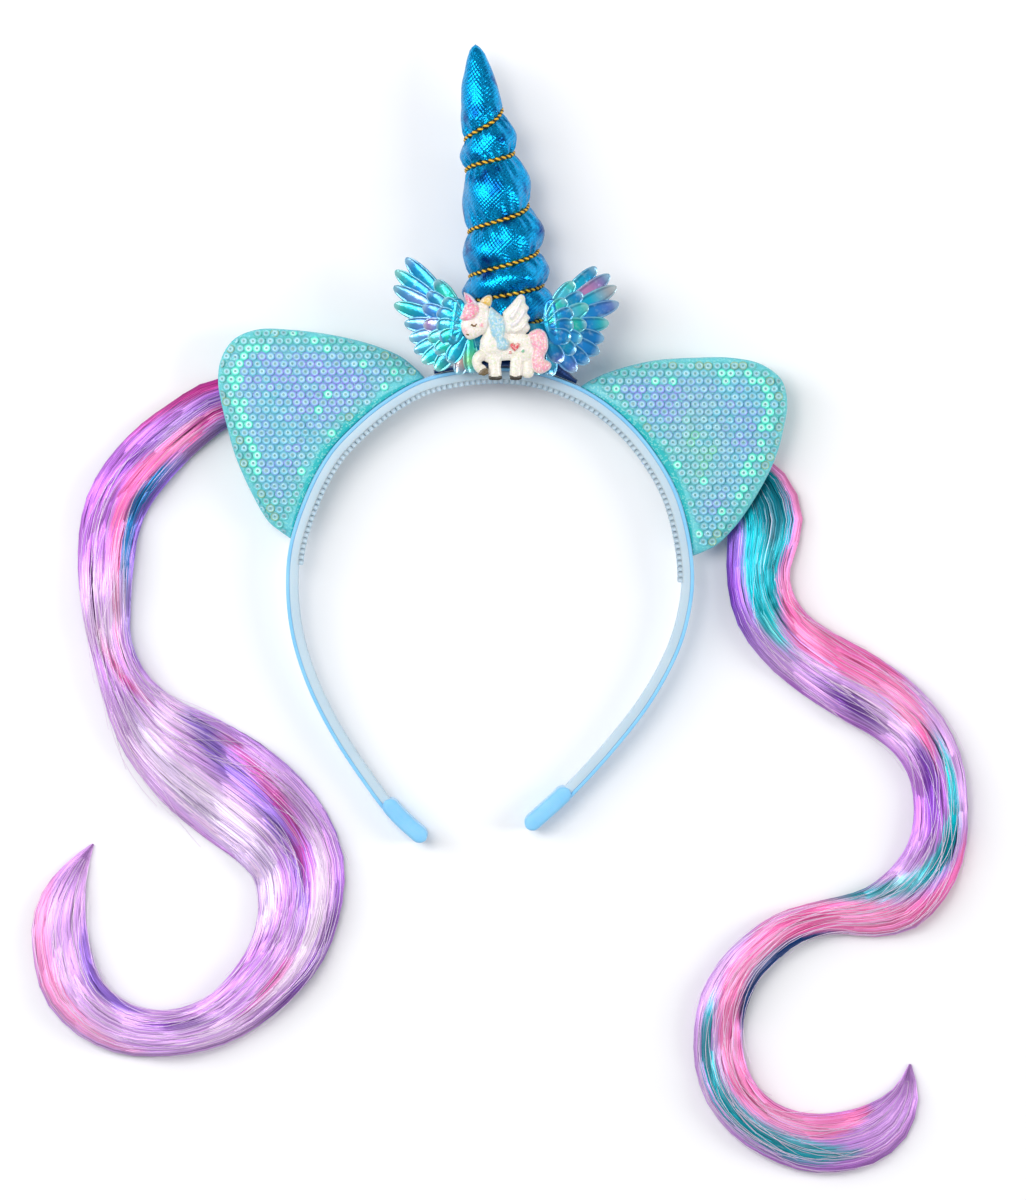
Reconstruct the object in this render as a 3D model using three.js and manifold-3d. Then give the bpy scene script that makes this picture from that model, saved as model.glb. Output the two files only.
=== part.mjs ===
// A unicorn horn headband lying on its back: a curved comb band with two padded ears, a stuffed horn
// wound with cord, two feathered wings, a resin charm and two long locks of hair.
// Millimetres, +Z up. X runs across the band, Y from its tips to the horn, Z away from the surface below.

import * as THREE from "three";
import { mergeVertices } from "three/addons/utils/BufferGeometryUtils.js";
import Module from "manifold-3d";

const wasm = await Module();
wasm.setup();

// Driving dimensions of the band
const BAND_WIDTH = 126.5;
const BAND_DROP = 147.5;
const PLASTIC_THICK = 2.7;
const CROWN_DEPTH = 10;
const TIP_DEPTH = 7.6;
const RIBBON_THICK = 0.8;
const SLEEVE_LENGTH = 18;
const TOOTH_HEIGHT = 1.3;
const TOOTH_PITCH = 1.9;
const FIT_GAP = 0.3;

// Driving dimensions of the ears
const EAR_REACH = 53;
const EAR_THICK = 8.4;
const EAR_SEAM = 1.4;

// Driving dimensions of the horn, its cord and the pad that it stands on
const HORN_LENGTH = 97;
const HORN_DIAMETER = 28.6;
const HORN_LEAN = 10.4;
const HORN_OFFSET = 5.9;
const GROOVE_DEPTH = 3.8;
const CORD_DIAMETER = 1.2;
const CORD_SEAT = 0.8;
const PAD_RISE = 2.5;
const PAD_EDGE = 1.2;
const PAD_DEPTH = 18;

// Driving dimensions of the wings and the charm
const WING_REACH = 29;
const WING_THICK = 1;
const LEFT_WING_ACROSS = 12.1;
const RIGHT_WING_ACROSS = 9.6;
const WING_UP = 12.1;
const WING_DROOP = 4;
const FEATHER_WIDTH = 3.6;
const FEATHER_STEP = 0.5;
const CHARM_WIDTH = 28.6;
const CHARM_THICK = 3.2;
const CHARM_ACROSS = 5;
const CHARM_UP = 10.2;

// Driving dimensions of the hair
const HAIR_WIDTH = 34;
const HAIR_THICK = 10;
const LEFT_HAIR_SPAN = 134;
const LEFT_HAIR_DROP = 207;
const RIGHT_HAIR_SPAN = 140;
const RIGHT_HAIR_DROP = 241;
const CLASP_WALL = 1;
const CLASP_LENGTH = 7;
const HEAD_LENGTH = 3.5;

// Places along the outer edge of the band, as shares of its length from the left tip to the right one
const TEETH_FROM = 0.2545;
const TEETH_TO = 0.7585;
const PAD_FROM = 0.4535;
const PAD_TO = 0.5665;
const LEFT_EAR_FROM = 0.445;
const LEFT_EAR_TO = 0.274;
const RIGHT_EAR_FROM = 0.571;
const RIGHT_EAR_TO = 0.7375;

// Outer edge of the band from the front: shares of half its width, and of its drop
const BAND_EDGE = [
  { across: -0.343, down: 1.008 },
  { across: -0.485, down: 0.952 },
  { across: -0.635, down: 0.868 },
  { across: -0.792, down: 0.763 },
  { across: -0.909, down: 0.658 },
  { across: -0.98, down: 0.553 },
  { across: -1.0, down: 0.447 },
  { across: -0.978, down: 0.363 },
  { across: -0.882, down: 0.248 },
  { across: -0.784, down: 0.176 },
  { across: -0.686, down: 0.13 },
  { across: -0.539, down: 0.076 },
  { across: -0.343, down: 0.027 },
  { across: -0.147, down: 0.006 },
  { across: 0.049, down: 0 },
  { across: 0.245, down: 0.01 },
  { across: 0.471, down: 0.048 },
  { across: 0.637, down: 0.098 },
  { across: 0.784, down: 0.166 },
  { across: 0.912, down: 0.258 },
  { across: 0.978, down: 0.355 },
  { across: 1.0, down: 0.447 },
  { across: 0.98, down: 0.52 },
  { across: 0.929, down: 0.595 },
  { across: 0.801, down: 0.7 },
  { across: 0.615, down: 0.805 },
  { across: 0.39, down: 0.91 },
  { across: 0.205, down: 0.982 },
];

// Free edge of each ear: shares of the chord of its base, and of its reach
const LEFT_EAR_EDGE = [
  { along: -0.505, out: 0.05 },
  { along: -0.5, out: 0.18 },
  { along: -0.45, out: 0.36 },
  { along: -0.36, out: 0.57 },
  { along: -0.25, out: 0.77 },
  { along: -0.14, out: 0.93 },
  { along: -0.03, out: 1.0 },
  { along: 0.08, out: 0.985 },
  { along: 0.17, out: 0.915 },
  { along: 0.23, out: 0.83 },
  { along: 0.3, out: 0.71 },
  { along: 0.38, out: 0.56 },
  { along: 0.46, out: 0.35 },
  { along: 0.51, out: 0.16 },
  { along: 0.505, out: 0.05 },
];
const RIGHT_EAR_EDGE = [
  { along: -0.5, out: 0.05 },
  { along: -0.485, out: 0.17 },
  { along: -0.41, out: 0.43 },
  { along: -0.3, out: 0.66 },
  { along: -0.21, out: 0.82 },
  { along: -0.1, out: 0.95 },
  { along: 0.02, out: 1.0 },
  { along: 0.13, out: 0.955 },
  { along: 0.22, out: 0.86 },
  { along: 0.32, out: 0.725 },
  { along: 0.41, out: 0.545 },
  { along: 0.49, out: 0.32 },
  { along: 0.52, out: 0.15 },
  { along: 0.51, out: 0.05 },
];

// Horn from base to tip: share of its length, radius over its base radius, lean over the whole lean
const HORN_FORM = [
  { up: 0, radius: 1.0, lean: 0 },
  { up: 0.21, radius: 0.97, lean: 0.03 },
  { up: 0.28, radius: 0.93, lean: 0.06 },
  { up: 0.34, radius: 0.9, lean: 0.12 },
  { up: 0.44, radius: 0.835, lean: 0.21 },
  { up: 0.5, radius: 0.785, lean: 0.32 },
  { up: 0.57, radius: 0.74, lean: 0.39 },
  { up: 0.66, radius: 0.63, lean: 0.55 },
  { up: 0.74, radius: 0.57, lean: 0.66 },
  { up: 0.82, radius: 0.445, lean: 0.83 },
  { up: 0.87, radius: 0.4, lean: 0.88 },
  { up: 0.915, radius: 0.325, lean: 0.91 },
  { up: 0.96, radius: 0.215, lean: 0.955 },
  { up: 1.0, radius: 0, lean: 1.0 },
];

// Height of the groove at each half turn, as shares of the horn's length: left, right, left and so on
const GROOVE_HEIGHTS = [
  -0.12, -0.04, 0.06, 0.13, 0.173, 0.233, 0.259, 0.342, 0.401, 0.489, 0.598, 0.655, 0.694, 0.79, 0.84,
  0.89, 0.93, 0.965,
];
const CORD_FROM = 2;
const CORD_TO = 13.6;
const CORD_SIDES = 5;
const HORN_FOOT = PAD_RISE + FIT_GAP;
const CHARM_BACK = HORN_DIAMETER / 2 + WING_THICK + 2 * FEATHER_STEP + 2 * FIT_GAP;

// Feathers of one wing: angle up from the horizontal, reach of the left and the right one, layer
const FEATHERS = [
  { angle: 48, left: 1.02, right: 0.89, layer: 0 },
  { angle: 38, left: 1.01, right: 0.94, layer: 0 },
  { angle: 29, left: 0.93, right: 0.93, layer: 0 },
  { angle: 18, left: 0.85, right: 0.885, layer: 0 },
  { angle: 5, left: 0.7, right: 0.735, layer: 0 },
  { angle: -9, left: 0.655, right: 0.69, layer: 0 },
  { angle: -22, left: 0.64, right: 0.68, layer: 0 },
  { angle: -35, left: 0.62, right: 0.63, layer: 0 },
  { angle: -50, left: 0.57, right: 0.59, layer: 0 },
  { angle: -76, left: 0.5, right: 0.515, layer: 0 },
  { angle: -93, left: 0.47, right: 0.49, layer: 0 },
  { angle: 55, left: 0.64, right: 0.62, layer: 1 },
  { angle: 41, left: 0.6, right: 0.59, layer: 1 },
  { angle: 26, left: 0.56, right: 0.57, layer: 1 },
  { angle: 6, left: 0.47, right: 0.47, layer: 1 },
  { angle: -18, left: 0.4, right: 0.4, layer: 1 },
  { angle: -43, left: 0.4, right: 0.4, layer: 1 },
];

// Rounded forms of the charm, over its width: centre, half sizes, turn in degrees, height over its thickness
const CHARM_FORMS = [
  { x: 0.07, y: -0.12, halfX: 0.22, halfY: 0.15, turn: 0, height: 1.0 },
  { x: -0.15, y: -0.12, halfX: 0.12, halfY: 0.2, turn: -12, height: 1.0 },
  { x: -0.27, y: 0.13, halfX: 0.16, halfY: 0.17, turn: 20, height: 1.25 },
  { x: -0.39, y: 0.03, halfX: 0.085, halfY: 0.08, turn: 0, height: 1.25 },
  { x: -0.39, y: 0.24, halfX: 0.085, halfY: 0.13, turn: -30, height: 1.4 },
  { x: -0.38, y: 0.41, halfX: 0.055, halfY: 0.1, turn: 42, height: 1.25 },
  { x: -0.2, y: 0.36, halfX: 0.065, halfY: 0.09, turn: -20, height: 1.1 },
  { x: -0.12, y: 0.13, halfX: 0.09, halfY: 0.19, turn: 12, height: 1.4 },
  { x: -0.04, y: -0.06, halfX: 0.09, halfY: 0.13, turn: 5, height: 1.4 },
  { x: 0.12, y: 0.22, halfX: 0.085, halfY: 0.25, turn: -20, height: 1.2 },
  { x: 0.16, y: 0.12, halfX: 0.09, halfY: 0.18, turn: -38, height: 1.2 },
  { x: 0.36, y: -0.03, halfX: 0.1, halfY: 0.105, turn: 0, height: 1.25 },
  { x: 0.345, y: -0.19, halfX: 0.085, halfY: 0.17, turn: 0, height: 1.25 },
  { x: 0.42, y: -0.34, halfX: 0.085, halfY: 0.07, turn: 20, height: 1.25 },
  { x: -0.24, y: -0.28, halfX: 0.14, halfY: 0.12, turn: -35, height: 1.1 },
  { x: 0.1, y: -0.12, halfX: 0.055, halfY: 0.05, turn: 0, height: 1.2 },
];

// Legs of the charm, over its width: left side, right side and foot
const CHARM_LEGS = [
  { left: -0.185, right: -0.055, foot: -0.455 },
  { left: 0.045, right: 0.16, foot: -0.455 },
  { left: 0.165, right: 0.285, foot: -0.45 },
];

// Course of each lock, root to tip: across over its span and down over its drop, from the crown of the band,
// then width and thickness over the widest and the thickest
const LEFT_HAIR = [
  { across: -0.44, down: 0.076, width: 0.25, thick: 0.42 },
  { across: -0.502, down: 0.057, width: 0.25, thick: 0.42 },
  { across: -0.572, down: 0.049, width: 0.4, thick: 0.6 },
  { across: -0.632, down: 0.055, width: 0.464, thick: 0.72 },
  { across: -0.708, down: 0.087, width: 0.5, thick: 0.85 },
  { across: -0.788, down: 0.133, width: 0.555, thick: 0.95 },
  { across: -0.85, down: 0.184, width: 0.564, thick: 0.95 },
  { across: -0.88, down: 0.232, width: 0.55, thick: 0.95 },
  { across: -0.892, down: 0.296, width: 0.515, thick: 0.95 },
  { across: -0.89, down: 0.366, width: 0.444, thick: 1 },
  { across: -0.881, down: 0.415, width: 0.385, thick: 1 },
  { across: -0.847, down: 0.478, width: 0.46, thick: 1 },
  { across: -0.78, down: 0.543, width: 0.71, thick: 0.9 },
  { across: -0.692, down: 0.591, width: 0.92, thick: 0.8 },
  { across: -0.59, down: 0.639, width: 1, thick: 0.75 },
  { across: -0.5, down: 0.689, width: 0.94, thick: 0.75 },
  { across: -0.448, down: 0.744, width: 0.86, thick: 0.8 },
  { across: -0.442, down: 0.808, width: 0.764, thick: 0.85 },
  { across: -0.471, down: 0.873, width: 0.68, thick: 0.9 },
  { across: -0.54, down: 0.933, width: 0.56, thick: 0.95 },
  { across: -0.619, down: 0.975, width: 0.48, thick: 1 },
  { across: -0.694, down: 0.994, width: 0.43, thick: 1 },
  { across: -0.764, down: 1, width: 0.42, thick: 1 },
  { across: -0.833, down: 0.996, width: 0.46, thick: 0.95 },
  { across: -0.891, down: 0.981, width: 0.49, thick: 0.95 },
  { across: -0.94, down: 0.957, width: 0.52, thick: 0.9 },
  { across: -0.975, down: 0.925, width: 0.55, thick: 0.85 },
  { across: -0.993, down: 0.882, width: 0.53, thick: 0.75 },
  { across: -1, down: 0.835, width: 0.495, thick: 0.65 },
  { across: -0.988, down: 0.794, width: 0.4, thick: 0.55 },
  { across: -0.957, down: 0.749, width: 0.2, thick: 0.38 },
  { across: -0.922, down: 0.716, width: 0.02, thick: 0.12 },
];
const RIGHT_HAIR = [
  { across: 0.416, down: 0.103, width: 0.25, thick: 0.42 },
  { across: 0.478, down: 0.113, width: 0.25, thick: 0.42 },
  { across: 0.543, down: 0.134, width: 0.5, thick: 0.6 },
  { across: 0.591, down: 0.163, width: 0.65, thick: 0.68 },
  { across: 0.61, down: 0.197, width: 0.7, thick: 0.78 },
  { across: 0.605, down: 0.224, width: 0.65, thick: 0.88 },
  { across: 0.596, down: 0.2535, width: 0.59, thick: 0.95 },
  { across: 0.597, down: 0.279, width: 0.573, thick: 1 },
  { across: 0.613, down: 0.313, width: 0.585, thick: 1 },
  { across: 0.66, down: 0.351, width: 0.59, thick: 1 },
  { across: 0.73, down: 0.382, width: 0.63, thick: 0.95 },
  { across: 0.814, down: 0.411, width: 0.66, thick: 0.95 },
  { across: 0.894, down: 0.441, width: 0.615, thick: 0.95 },
  { across: 0.951, down: 0.474, width: 0.555, thick: 1 },
  { across: 0.988, down: 0.515, width: 0.515, thick: 1 },
  { across: 1, down: 0.555, width: 0.49, thick: 1 },
  { across: 1, down: 0.5965, width: 0.51, thick: 1 },
  { across: 0.988, down: 0.628, width: 0.535, thick: 0.95 },
  { across: 0.957, down: 0.661, width: 0.56, thick: 0.9 },
  { across: 0.906, down: 0.69, width: 0.565, thick: 0.85 },
  { across: 0.842, down: 0.703, width: 0.455, thick: 0.85 },
  { across: 0.772, down: 0.7065, width: 0.33, thick: 0.9 },
  { across: 0.72, down: 0.712, width: 0.32, thick: 0.9 },
  { across: 0.655, down: 0.726, width: 0.345, thick: 0.9 },
  { across: 0.6, down: 0.75, width: 0.37, thick: 0.95 },
  { across: 0.5615, down: 0.772, width: 0.39, thick: 0.95 },
  { across: 0.5205, down: 0.815, width: 0.436, thick: 0.95 },
  { across: 0.506, down: 0.867, width: 0.45, thick: 0.95 },
  { across: 0.5125, down: 0.903, width: 0.464, thick: 0.95 },
  { across: 0.536, down: 0.937, width: 0.473, thick: 0.9 },
  { across: 0.5825, down: 0.968, width: 0.473, thick: 0.9 },
  { across: 0.636, down: 0.987, width: 0.49, thick: 0.85 },
  { across: 0.7, down: 0.999, width: 0.527, thick: 0.8 },
  { across: 0.765, down: 1, width: 0.54, thick: 0.75 },
  { across: 0.833, down: 0.991, width: 0.527, thick: 0.65 },
  { across: 0.884, down: 0.972, width: 0.455, thick: 0.55 },
  { across: 0.9235, down: 0.936, width: 0.24, thick: 0.4 },
  { across: 0.9335, down: 0.899, width: 0.02, thick: 0.12 },
];

// Shares across one lock's section, from side to side over its top and back under it, and the height there
const LOCK_TOP = [
  { side: -1, height: 0.4 },
  { side: -0.8, height: 0.78 },
  { side: -0.56, height: 0.74 },
  { side: -0.3, height: 1 },
  { side: -0.08, height: 0.84 },
  { side: 0.16, height: 0.98 },
  { side: 0.4, height: 0.8 },
  { side: 0.64, height: 0.88 },
  { side: 0.86, height: 0.6 },
  { side: 1, height: 0.36 },
];
const LOCK_UNDERSIDE = [0.84, 0.3, -0.3, -0.84];

// A solid for booleans, from a closed geometry whose shared corners are merged
function solidOf(geometry) {
  const bare = geometry.index ? geometry.clone() : geometry;
  bare.deleteAttribute("normal");
  bare.deleteAttribute("uv");
  const merged = mergeVertices(bare, 1e-4);
  const vertProperties = Float32Array.from(merged.attributes.position.array);
  const triVerts = Uint32Array.from(merged.index.array);
  return new wasm.Manifold(new wasm.Mesh({ numProp: 3, vertProperties, triVerts }));
}

// The geometry of a boolean's result
function geometryOf(solid) {
  const mesh = solid.getMesh();
  const geometry = new THREE.BufferGeometry();
  const positions = Float32Array.from(mesh.vertProperties);
  geometry.setAttribute("position", new THREE.BufferAttribute(positions, 3));
  geometry.setIndex(Array.from(mesh.triVerts));
  geometry.computeVertexNormals();
  return geometry;
}

// All the given geometries joined into one body
function joined(geometries) {
  const solids = geometries.map(solidOf);
  return geometryOf(solids.reduce((whole, piece) => whole.add(piece)));
}

// A geometry from corners and triangles, with its faces turned outward
function closedGeometry(corners, triangles) {
  let volume = 0;
  for (const [a, b, c] of triangles) {
    volume += corners[a].dot(new THREE.Vector3().crossVectors(corners[b], corners[c]));
  }
  const faces = volume > 0 ? triangles : triangles.map(([a, b, c]) => [a, c, b]);
  const geometry = new THREE.BufferGeometry().setFromPoints(corners);
  geometry.setIndex(faces.flat());
  geometry.computeVertexNormals();
  return geometry;
}

// A body lofted through rings of equal count, closed at both ends by a fan
function loft(rings) {
  const corners = rings.flat();
  const count = rings[0].length;
  const triangles = [];
  for (let ring = 0; ring < rings.length - 1; ring++) {
    for (let i = 0; i < count; i++) {
      const a = ring * count + i;
      const b = ring * count + ((i + 1) % count);
      triangles.push([a, b, b + count], [a, b + count, a + count]);
    }
  }
  for (const [ring, order] of [[0, 1], [rings.length - 1, -1]]) {
    const middle = corners.length;
    const sum = rings[ring].reduce((total, corner) => total.add(corner), new THREE.Vector3());
    corners.push(sum.divideScalar(count));
    for (let i = 0; i < count; i++) {
      const a = ring * count + i;
      const b = ring * count + ((i + 1) % count);
      triangles.push(order > 0 ? [middle, b, a] : [middle, a, b]);
    }
  }
  return closedGeometry(corners, triangles);
}

// A flat outline given a depth that may change from place to place, its middle at z = 0
function slab(outline, depthAt) {
  const geometry = new THREE.ExtrudeGeometry(new THREE.Shape(outline), { depth: 1, bevelEnabled: false });
  const position = geometry.attributes.position;
  for (let i = 0; i < position.count; i++) {
    const depth = depthAt(position.getX(i), position.getY(i));
    position.setZ(i, (position.getZ(i) - 0.5) * depth);
  }
  return geometry;
}

// A value read between the rows of a table
function readTable(rows, key, place, column) {
  const next = rows.findIndex((row) => row[key] > place);
  if (next < 1) {
    return rows[next === 0 ? 0 : rows.length - 1][column];
  }
  const share = (place - rows[next - 1][key]) / (rows[next][key] - rows[next - 1][key]);
  return THREE.MathUtils.lerp(rows[next - 1][column], rows[next][column], share);
}

const outerEdge = new THREE.CatmullRomCurve3(
  BAND_EDGE.map((row) => new THREE.Vector3((row.across * BAND_WIDTH) / 2, -row.down * BAND_DROP, 0)),
  false,
  "centripetal",
);
outerEdge.arcLengthDivisions = 800;
const BAND_LENGTH = outerEdge.getLength();
const BAND_THICK = PLASTIC_THICK + 2 * (RIBBON_THICK + FIT_GAP);
const BAND_STEPS = 50;
const PLASTIC_OUTER = -(RIBBON_THICK + FIT_GAP);
const PLASTIC_INNER = PLASTIC_OUTER - PLASTIC_THICK;

// A point beside the outer edge, at a share of its length; outward is away from the head
function bandPoint(share, outward) {
  const point = outerEdge.getPointAt(share);
  const along = outerEdge.getTangentAt(share);
  return new THREE.Vector2(point.x - along.y * outward, point.y + along.x * outward);
}

function bandDepth(y) {
  return THREE.MathUtils.lerp(CROWN_DEPTH, TIP_DEPTH, THREE.MathUtils.clamp(-y / BAND_DROP, 0, 1));
}

// Points beside the outer edge between two shares of its length, all broken at the same places
function bandRun(from, to, outward) {
  const [low, high] = [Math.min(from, to), Math.max(from, to)];
  const places = Array.from({ length: BAND_STEPS + 1 }, (_, i) => i / BAND_STEPS);
  const between = places.filter((place) => place > low + 0.002 && place < high - 0.002);
  const run = [low, ...between, high].map((place) => bandPoint(place, outward));
  return from < to ? run : run.reverse();
}

// The round end of a strip: half a circle from one side to the other
function roundEnd(share, outer, inner, way) {
  const start = bandPoint(share, outer);
  const end = bandPoint(share, inner);
  const middle = start.clone().add(end).multiplyScalar(0.5);
  const arm = start.clone().sub(middle);
  const turns = [1 / 6, 2 / 6, 3 / 6, 4 / 6, 5 / 6];
  return turns.map((turn) => arm.clone().rotateAround(new THREE.Vector2(), way * turn * Math.PI).add(middle));
}

const TIP_CENTRE = BAND_THICK / 2 / BAND_LENGTH;

// The plastic strip with its comb teeth on the inner side
function bandCore() {
  const teeth = Math.round(((TEETH_TO - TEETH_FROM) * BAND_LENGTH) / TOOTH_PITCH);
  const toothStep = (TEETH_TO - TEETH_FROM) / teeth;
  const inner = bandRun(1 - TIP_CENTRE, TEETH_TO, PLASTIC_INNER);
  for (let tooth = 0; tooth < teeth; tooth++) {
    const share = TEETH_TO - tooth * toothStep;
    inner.push(bandPoint(share - 0.25 * toothStep, PLASTIC_INNER));
    inner.push(bandPoint(share - 0.38 * toothStep, PLASTIC_INNER - TOOTH_HEIGHT));
    inner.push(bandPoint(share - 0.7 * toothStep, PLASTIC_INNER - TOOTH_HEIGHT));
    inner.push(bandPoint(share - 0.83 * toothStep, PLASTIC_INNER));
  }
  inner.push(...bandRun(TEETH_FROM, TIP_CENTRE, PLASTIC_INNER));
  const outline = [
    ...bandRun(TIP_CENTRE, 1 - TIP_CENTRE, PLASTIC_OUTER),
    ...roundEnd(1 - TIP_CENTRE, PLASTIC_OUTER, PLASTIC_INNER, -1),
    ...inner,
    ...roundEnd(TIP_CENTRE, PLASTIC_INNER, PLASTIC_OUTER, -1),
  ];
  return slab(outline, (x, y) => bandDepth(y));
}

// A closed strip outline between two offsets, with round ends where asked
function stripOutline(from, to, outer, inner, roundFrom, roundTo) {
  return [
    ...bandRun(from, to, outer),
    ...(roundTo ? roundEnd(to, outer, inner, -1) : []),
    ...bandRun(to, from, inner),
    ...(roundFrom ? roundEnd(from, inner, outer, -1) : []),
  ];
}

// The ribbon on the outer face, wrapped round the last stretch of each leg
function bandCover() {
  const sleeve = SLEEVE_LENGTH / BAND_LENGTH;
  const wall = RIBBON_THICK + FIT_GAP;
  const past = 2 / BAND_LENGTH;
  let cover = solidOf(
    slab(stripOutline(TIP_CENTRE, 1 - TIP_CENTRE, 0, -RIBBON_THICK, false, false), (x, y) => bandDepth(y)),
  );
  const ends = [
    { from: TIP_CENTRE, to: sleeve, reach: sleeve + past, atStart: true },
    { from: 1 - sleeve, to: 1 - TIP_CENTRE, reach: 1 - sleeve - past, atStart: false },
  ];
  for (const { from, to, reach, atStart } of ends) {
    const outside = stripOutline(from, to, 0, -BAND_THICK, atStart, !atStart);
    const inside = stripOutline(
      atStart ? from : reach,
      atStart ? reach : to,
      -RIBBON_THICK,
      RIBBON_THICK - BAND_THICK,
      atStart,
      !atStart,
    );
    const shell = solidOf(slab(outside, (x, y) => bandDepth(y) + 2 * wall));
    const hollow = solidOf(slab(inside, (x, y) => bandDepth(y) + 2 * FIT_GAP));
    cover = cover.add(shell.subtract(hollow));
  }
  return geometryOf(cover);
}

// A padded panel: two faces over one grid, meeting in a thin seam round the edge
function paddedPanel(pointAt, halfThicknessAt, across, outward) {
  const corners = [];
  const triangles = [];
  const width = across + 1;
  const layer = width * (outward + 1);
  for (const side of [1, -1]) {
    for (let j = 0; j <= outward; j++) {
      for (let i = 0; i <= across; i++) {
        const flat = pointAt(i / across, j / outward);
        corners.push(new THREE.Vector3(flat.x, flat.y, side * halfThicknessAt(i / across, j / outward)));
      }
    }
  }
  for (let j = 0; j < outward; j++) {
    for (let i = 0; i < across; i++) {
      const a = j * width + i;
      triangles.push([a, a + 1, a + 1 + width], [a, a + 1 + width, a + width]);
      const b = a + layer;
      triangles.push([b, b + 1 + width, b + 1], [b, b + width, b + 1 + width]);
    }
  }
  const rim = [];
  for (let i = 0; i < across; i++) rim.push(i);
  for (let j = 0; j < outward; j++) rim.push(j * width + across);
  for (let i = across; i > 0; i--) rim.push(outward * width + i);
  for (let j = outward; j > 0; j--) rim.push(j * width);
  rim.forEach((a, i) => {
    const b = rim[(i + 1) % rim.length];
    triangles.push([a, a + layer, b + layer], [a, b + layer, b]);
  });
  return closedGeometry(corners, triangles);
}

// One stuffed ear whose base follows the band between two shares of its edge
function ear(from, to, edgeRows) {
  const start = bandPoint(from, FIT_GAP);
  const end = bandPoint(to, FIT_GAP);
  const along = end.clone().sub(start);
  const middle = start.clone().add(end).multiplyScalar(0.5);
  const out = bandPoint((from + to) / 2, 1).sub(bandPoint((from + to) / 2, 0));
  const edge = new THREE.CatmullRomCurve3(
    edgeRows.map((row) => {
      const flat = middle.clone().addScaledVector(along, row.along).addScaledVector(out, row.out * EAR_REACH);
      return new THREE.Vector3(flat.x, flat.y, 0);
    }),
    false,
    "centripetal",
  );
  const pointAt = (u, v) => {
    const base = bandPoint(THREE.MathUtils.lerp(from, to, u), FIT_GAP);
    const free = edge.getPointAt(u);
    return base.lerp(new THREE.Vector2(free.x, free.y), v);
  };
  const halfThicknessAt = (u, v) => {
    const side = Math.sqrt(Math.max(0, 1 - (2 * u - 1) ** 4));
    const reach = Math.max(0, 1 - v ** 3) ** 0.6;
    return (EAR_SEAM + (EAR_THICK - EAR_SEAM) * side * reach) / 2;
  };
  return paddedPanel(pointAt, halfThicknessAt, 18, 5);
}

// The spiral groove: its height at a number of turns up from the lowest one
const grooveCurve = new THREE.CatmullRomCurve3(
  GROOVE_HEIGHTS.map((height, halfTurn) => new THREE.Vector3(halfTurn, height, 0)),
);
const SPIRAL_TURNS = (GROOVE_HEIGHTS.length - 1) / 2;

function grooveHeight(turns) {
  return grooveCurve.getPoint(THREE.MathUtils.clamp(turns / SPIRAL_TURNS, 0, 1)).y;
}

function grooveDepth(height) {
  return GROOVE_DEPTH * (1 - THREE.MathUtils.smoothstep(height, 0.78, 0.86)) * (1 - 0.5 * height);
}

const ANGLE_STEPS = 18;

// Angle round the horn: a whole turn starts at its left side and climbs to the right over the front
function spiralAngle(turns) {
  return Math.PI - turns * 2 * Math.PI;
}

function hornCentre(height) {
  return HORN_OFFSET - HORN_LEAN * readTable(HORN_FORM, "up", height, "lean");
}

function hornRadius(height) {
  return (HORN_DIAMETER / 2) * readTable(HORN_FORM, "up", height, "radius");
}

// A point on the horn: turns up along the groove, a share of the way to the next groove, and a stand-off
function hornPoint(turns, between, outside) {
  const height = THREE.MathUtils.lerp(grooveHeight(turns), grooveHeight(turns + 1), between);
  const puff = Math.sin(Math.PI * between) ** 0.9;
  const radius = hornRadius(height) - grooveDepth(height) * (1 - puff) + outside;
  const angle = spiralAngle(turns);
  return new THREE.Vector3(
    hornCentre(height) + radius * Math.cos(angle),
    HORN_FOOT + height * HORN_LENGTH,
    radius * Math.sin(angle),
  );
}

// The stuffed horn: one long roll that climbs in a spiral, closed by a fan at the tip and cut flat at its foot
function horn() {
  const rolls = [0, 0.15, 0.38, 0.62, 0.85];
  const steps = Math.round((SPIRAL_TURNS - 1) * ANGLE_STEPS);
  const corners = [];
  for (let step = 0; step <= steps + ANGLE_STEPS; step++) {
    const kept = step <= steps ? rolls : [0];
    kept.forEach((between) => corners.push(hornPoint(step / ANGLE_STEPS, between, 0)));
  }
  const first = (step) => Math.min(step, steps + 1) * rolls.length + Math.max(0, step - steps - 1);
  const corner = (step, roll) => (roll < rolls.length ? first(step) + roll : first(step + ANGLE_STEPS));
  const triangles = [];
  for (let step = 0; step < steps; step++) {
    for (let roll = 0; roll < rolls.length; roll++) {
      const [a, b] = [corner(step, roll), corner(step + 1, roll)];
      const [c, d] = [corner(step + 1, roll + 1), corner(step, roll + 1)];
      triangles.push([a, b, c], [a, c, d]);
    }
  }
  const lean = HORN_OFFSET - HORN_LEAN;
  const ends = [
    { at: 0, apex: new THREE.Vector3(HORN_OFFSET, HORN_FOOT - 0.2 * HORN_LENGTH, 0), way: -1 },
    { at: steps, apex: new THREE.Vector3(lean, HORN_FOOT + HORN_LENGTH, 0), way: 1 },
  ];
  for (const { at, apex, way } of ends) {
    const loop = [];
    for (let step = 0; step < ANGLE_STEPS; step++) loop.push(corner(at + step, 0));
    for (let roll = rolls.length; roll > 0; roll--) loop.push(corner(at, roll));
    corners.push(apex);
    loop.forEach((a, i) => {
      const b = loop[(i + 1) % loop.length];
      triangles.push(way > 0 ? [a, b, corners.length - 1] : [b, a, corners.length - 1]);
    });
  }
  const above = new THREE.BoxGeometry(2 * HORN_LENGTH, 2 * HORN_LENGTH, 2 * HORN_LENGTH);
  above.translate(0, HORN_FOOT + HORN_LENGTH, 0);
  return geometryOf(solidOf(closedGeometry(corners, triangles)).intersect(solidOf(above)));
}

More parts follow.
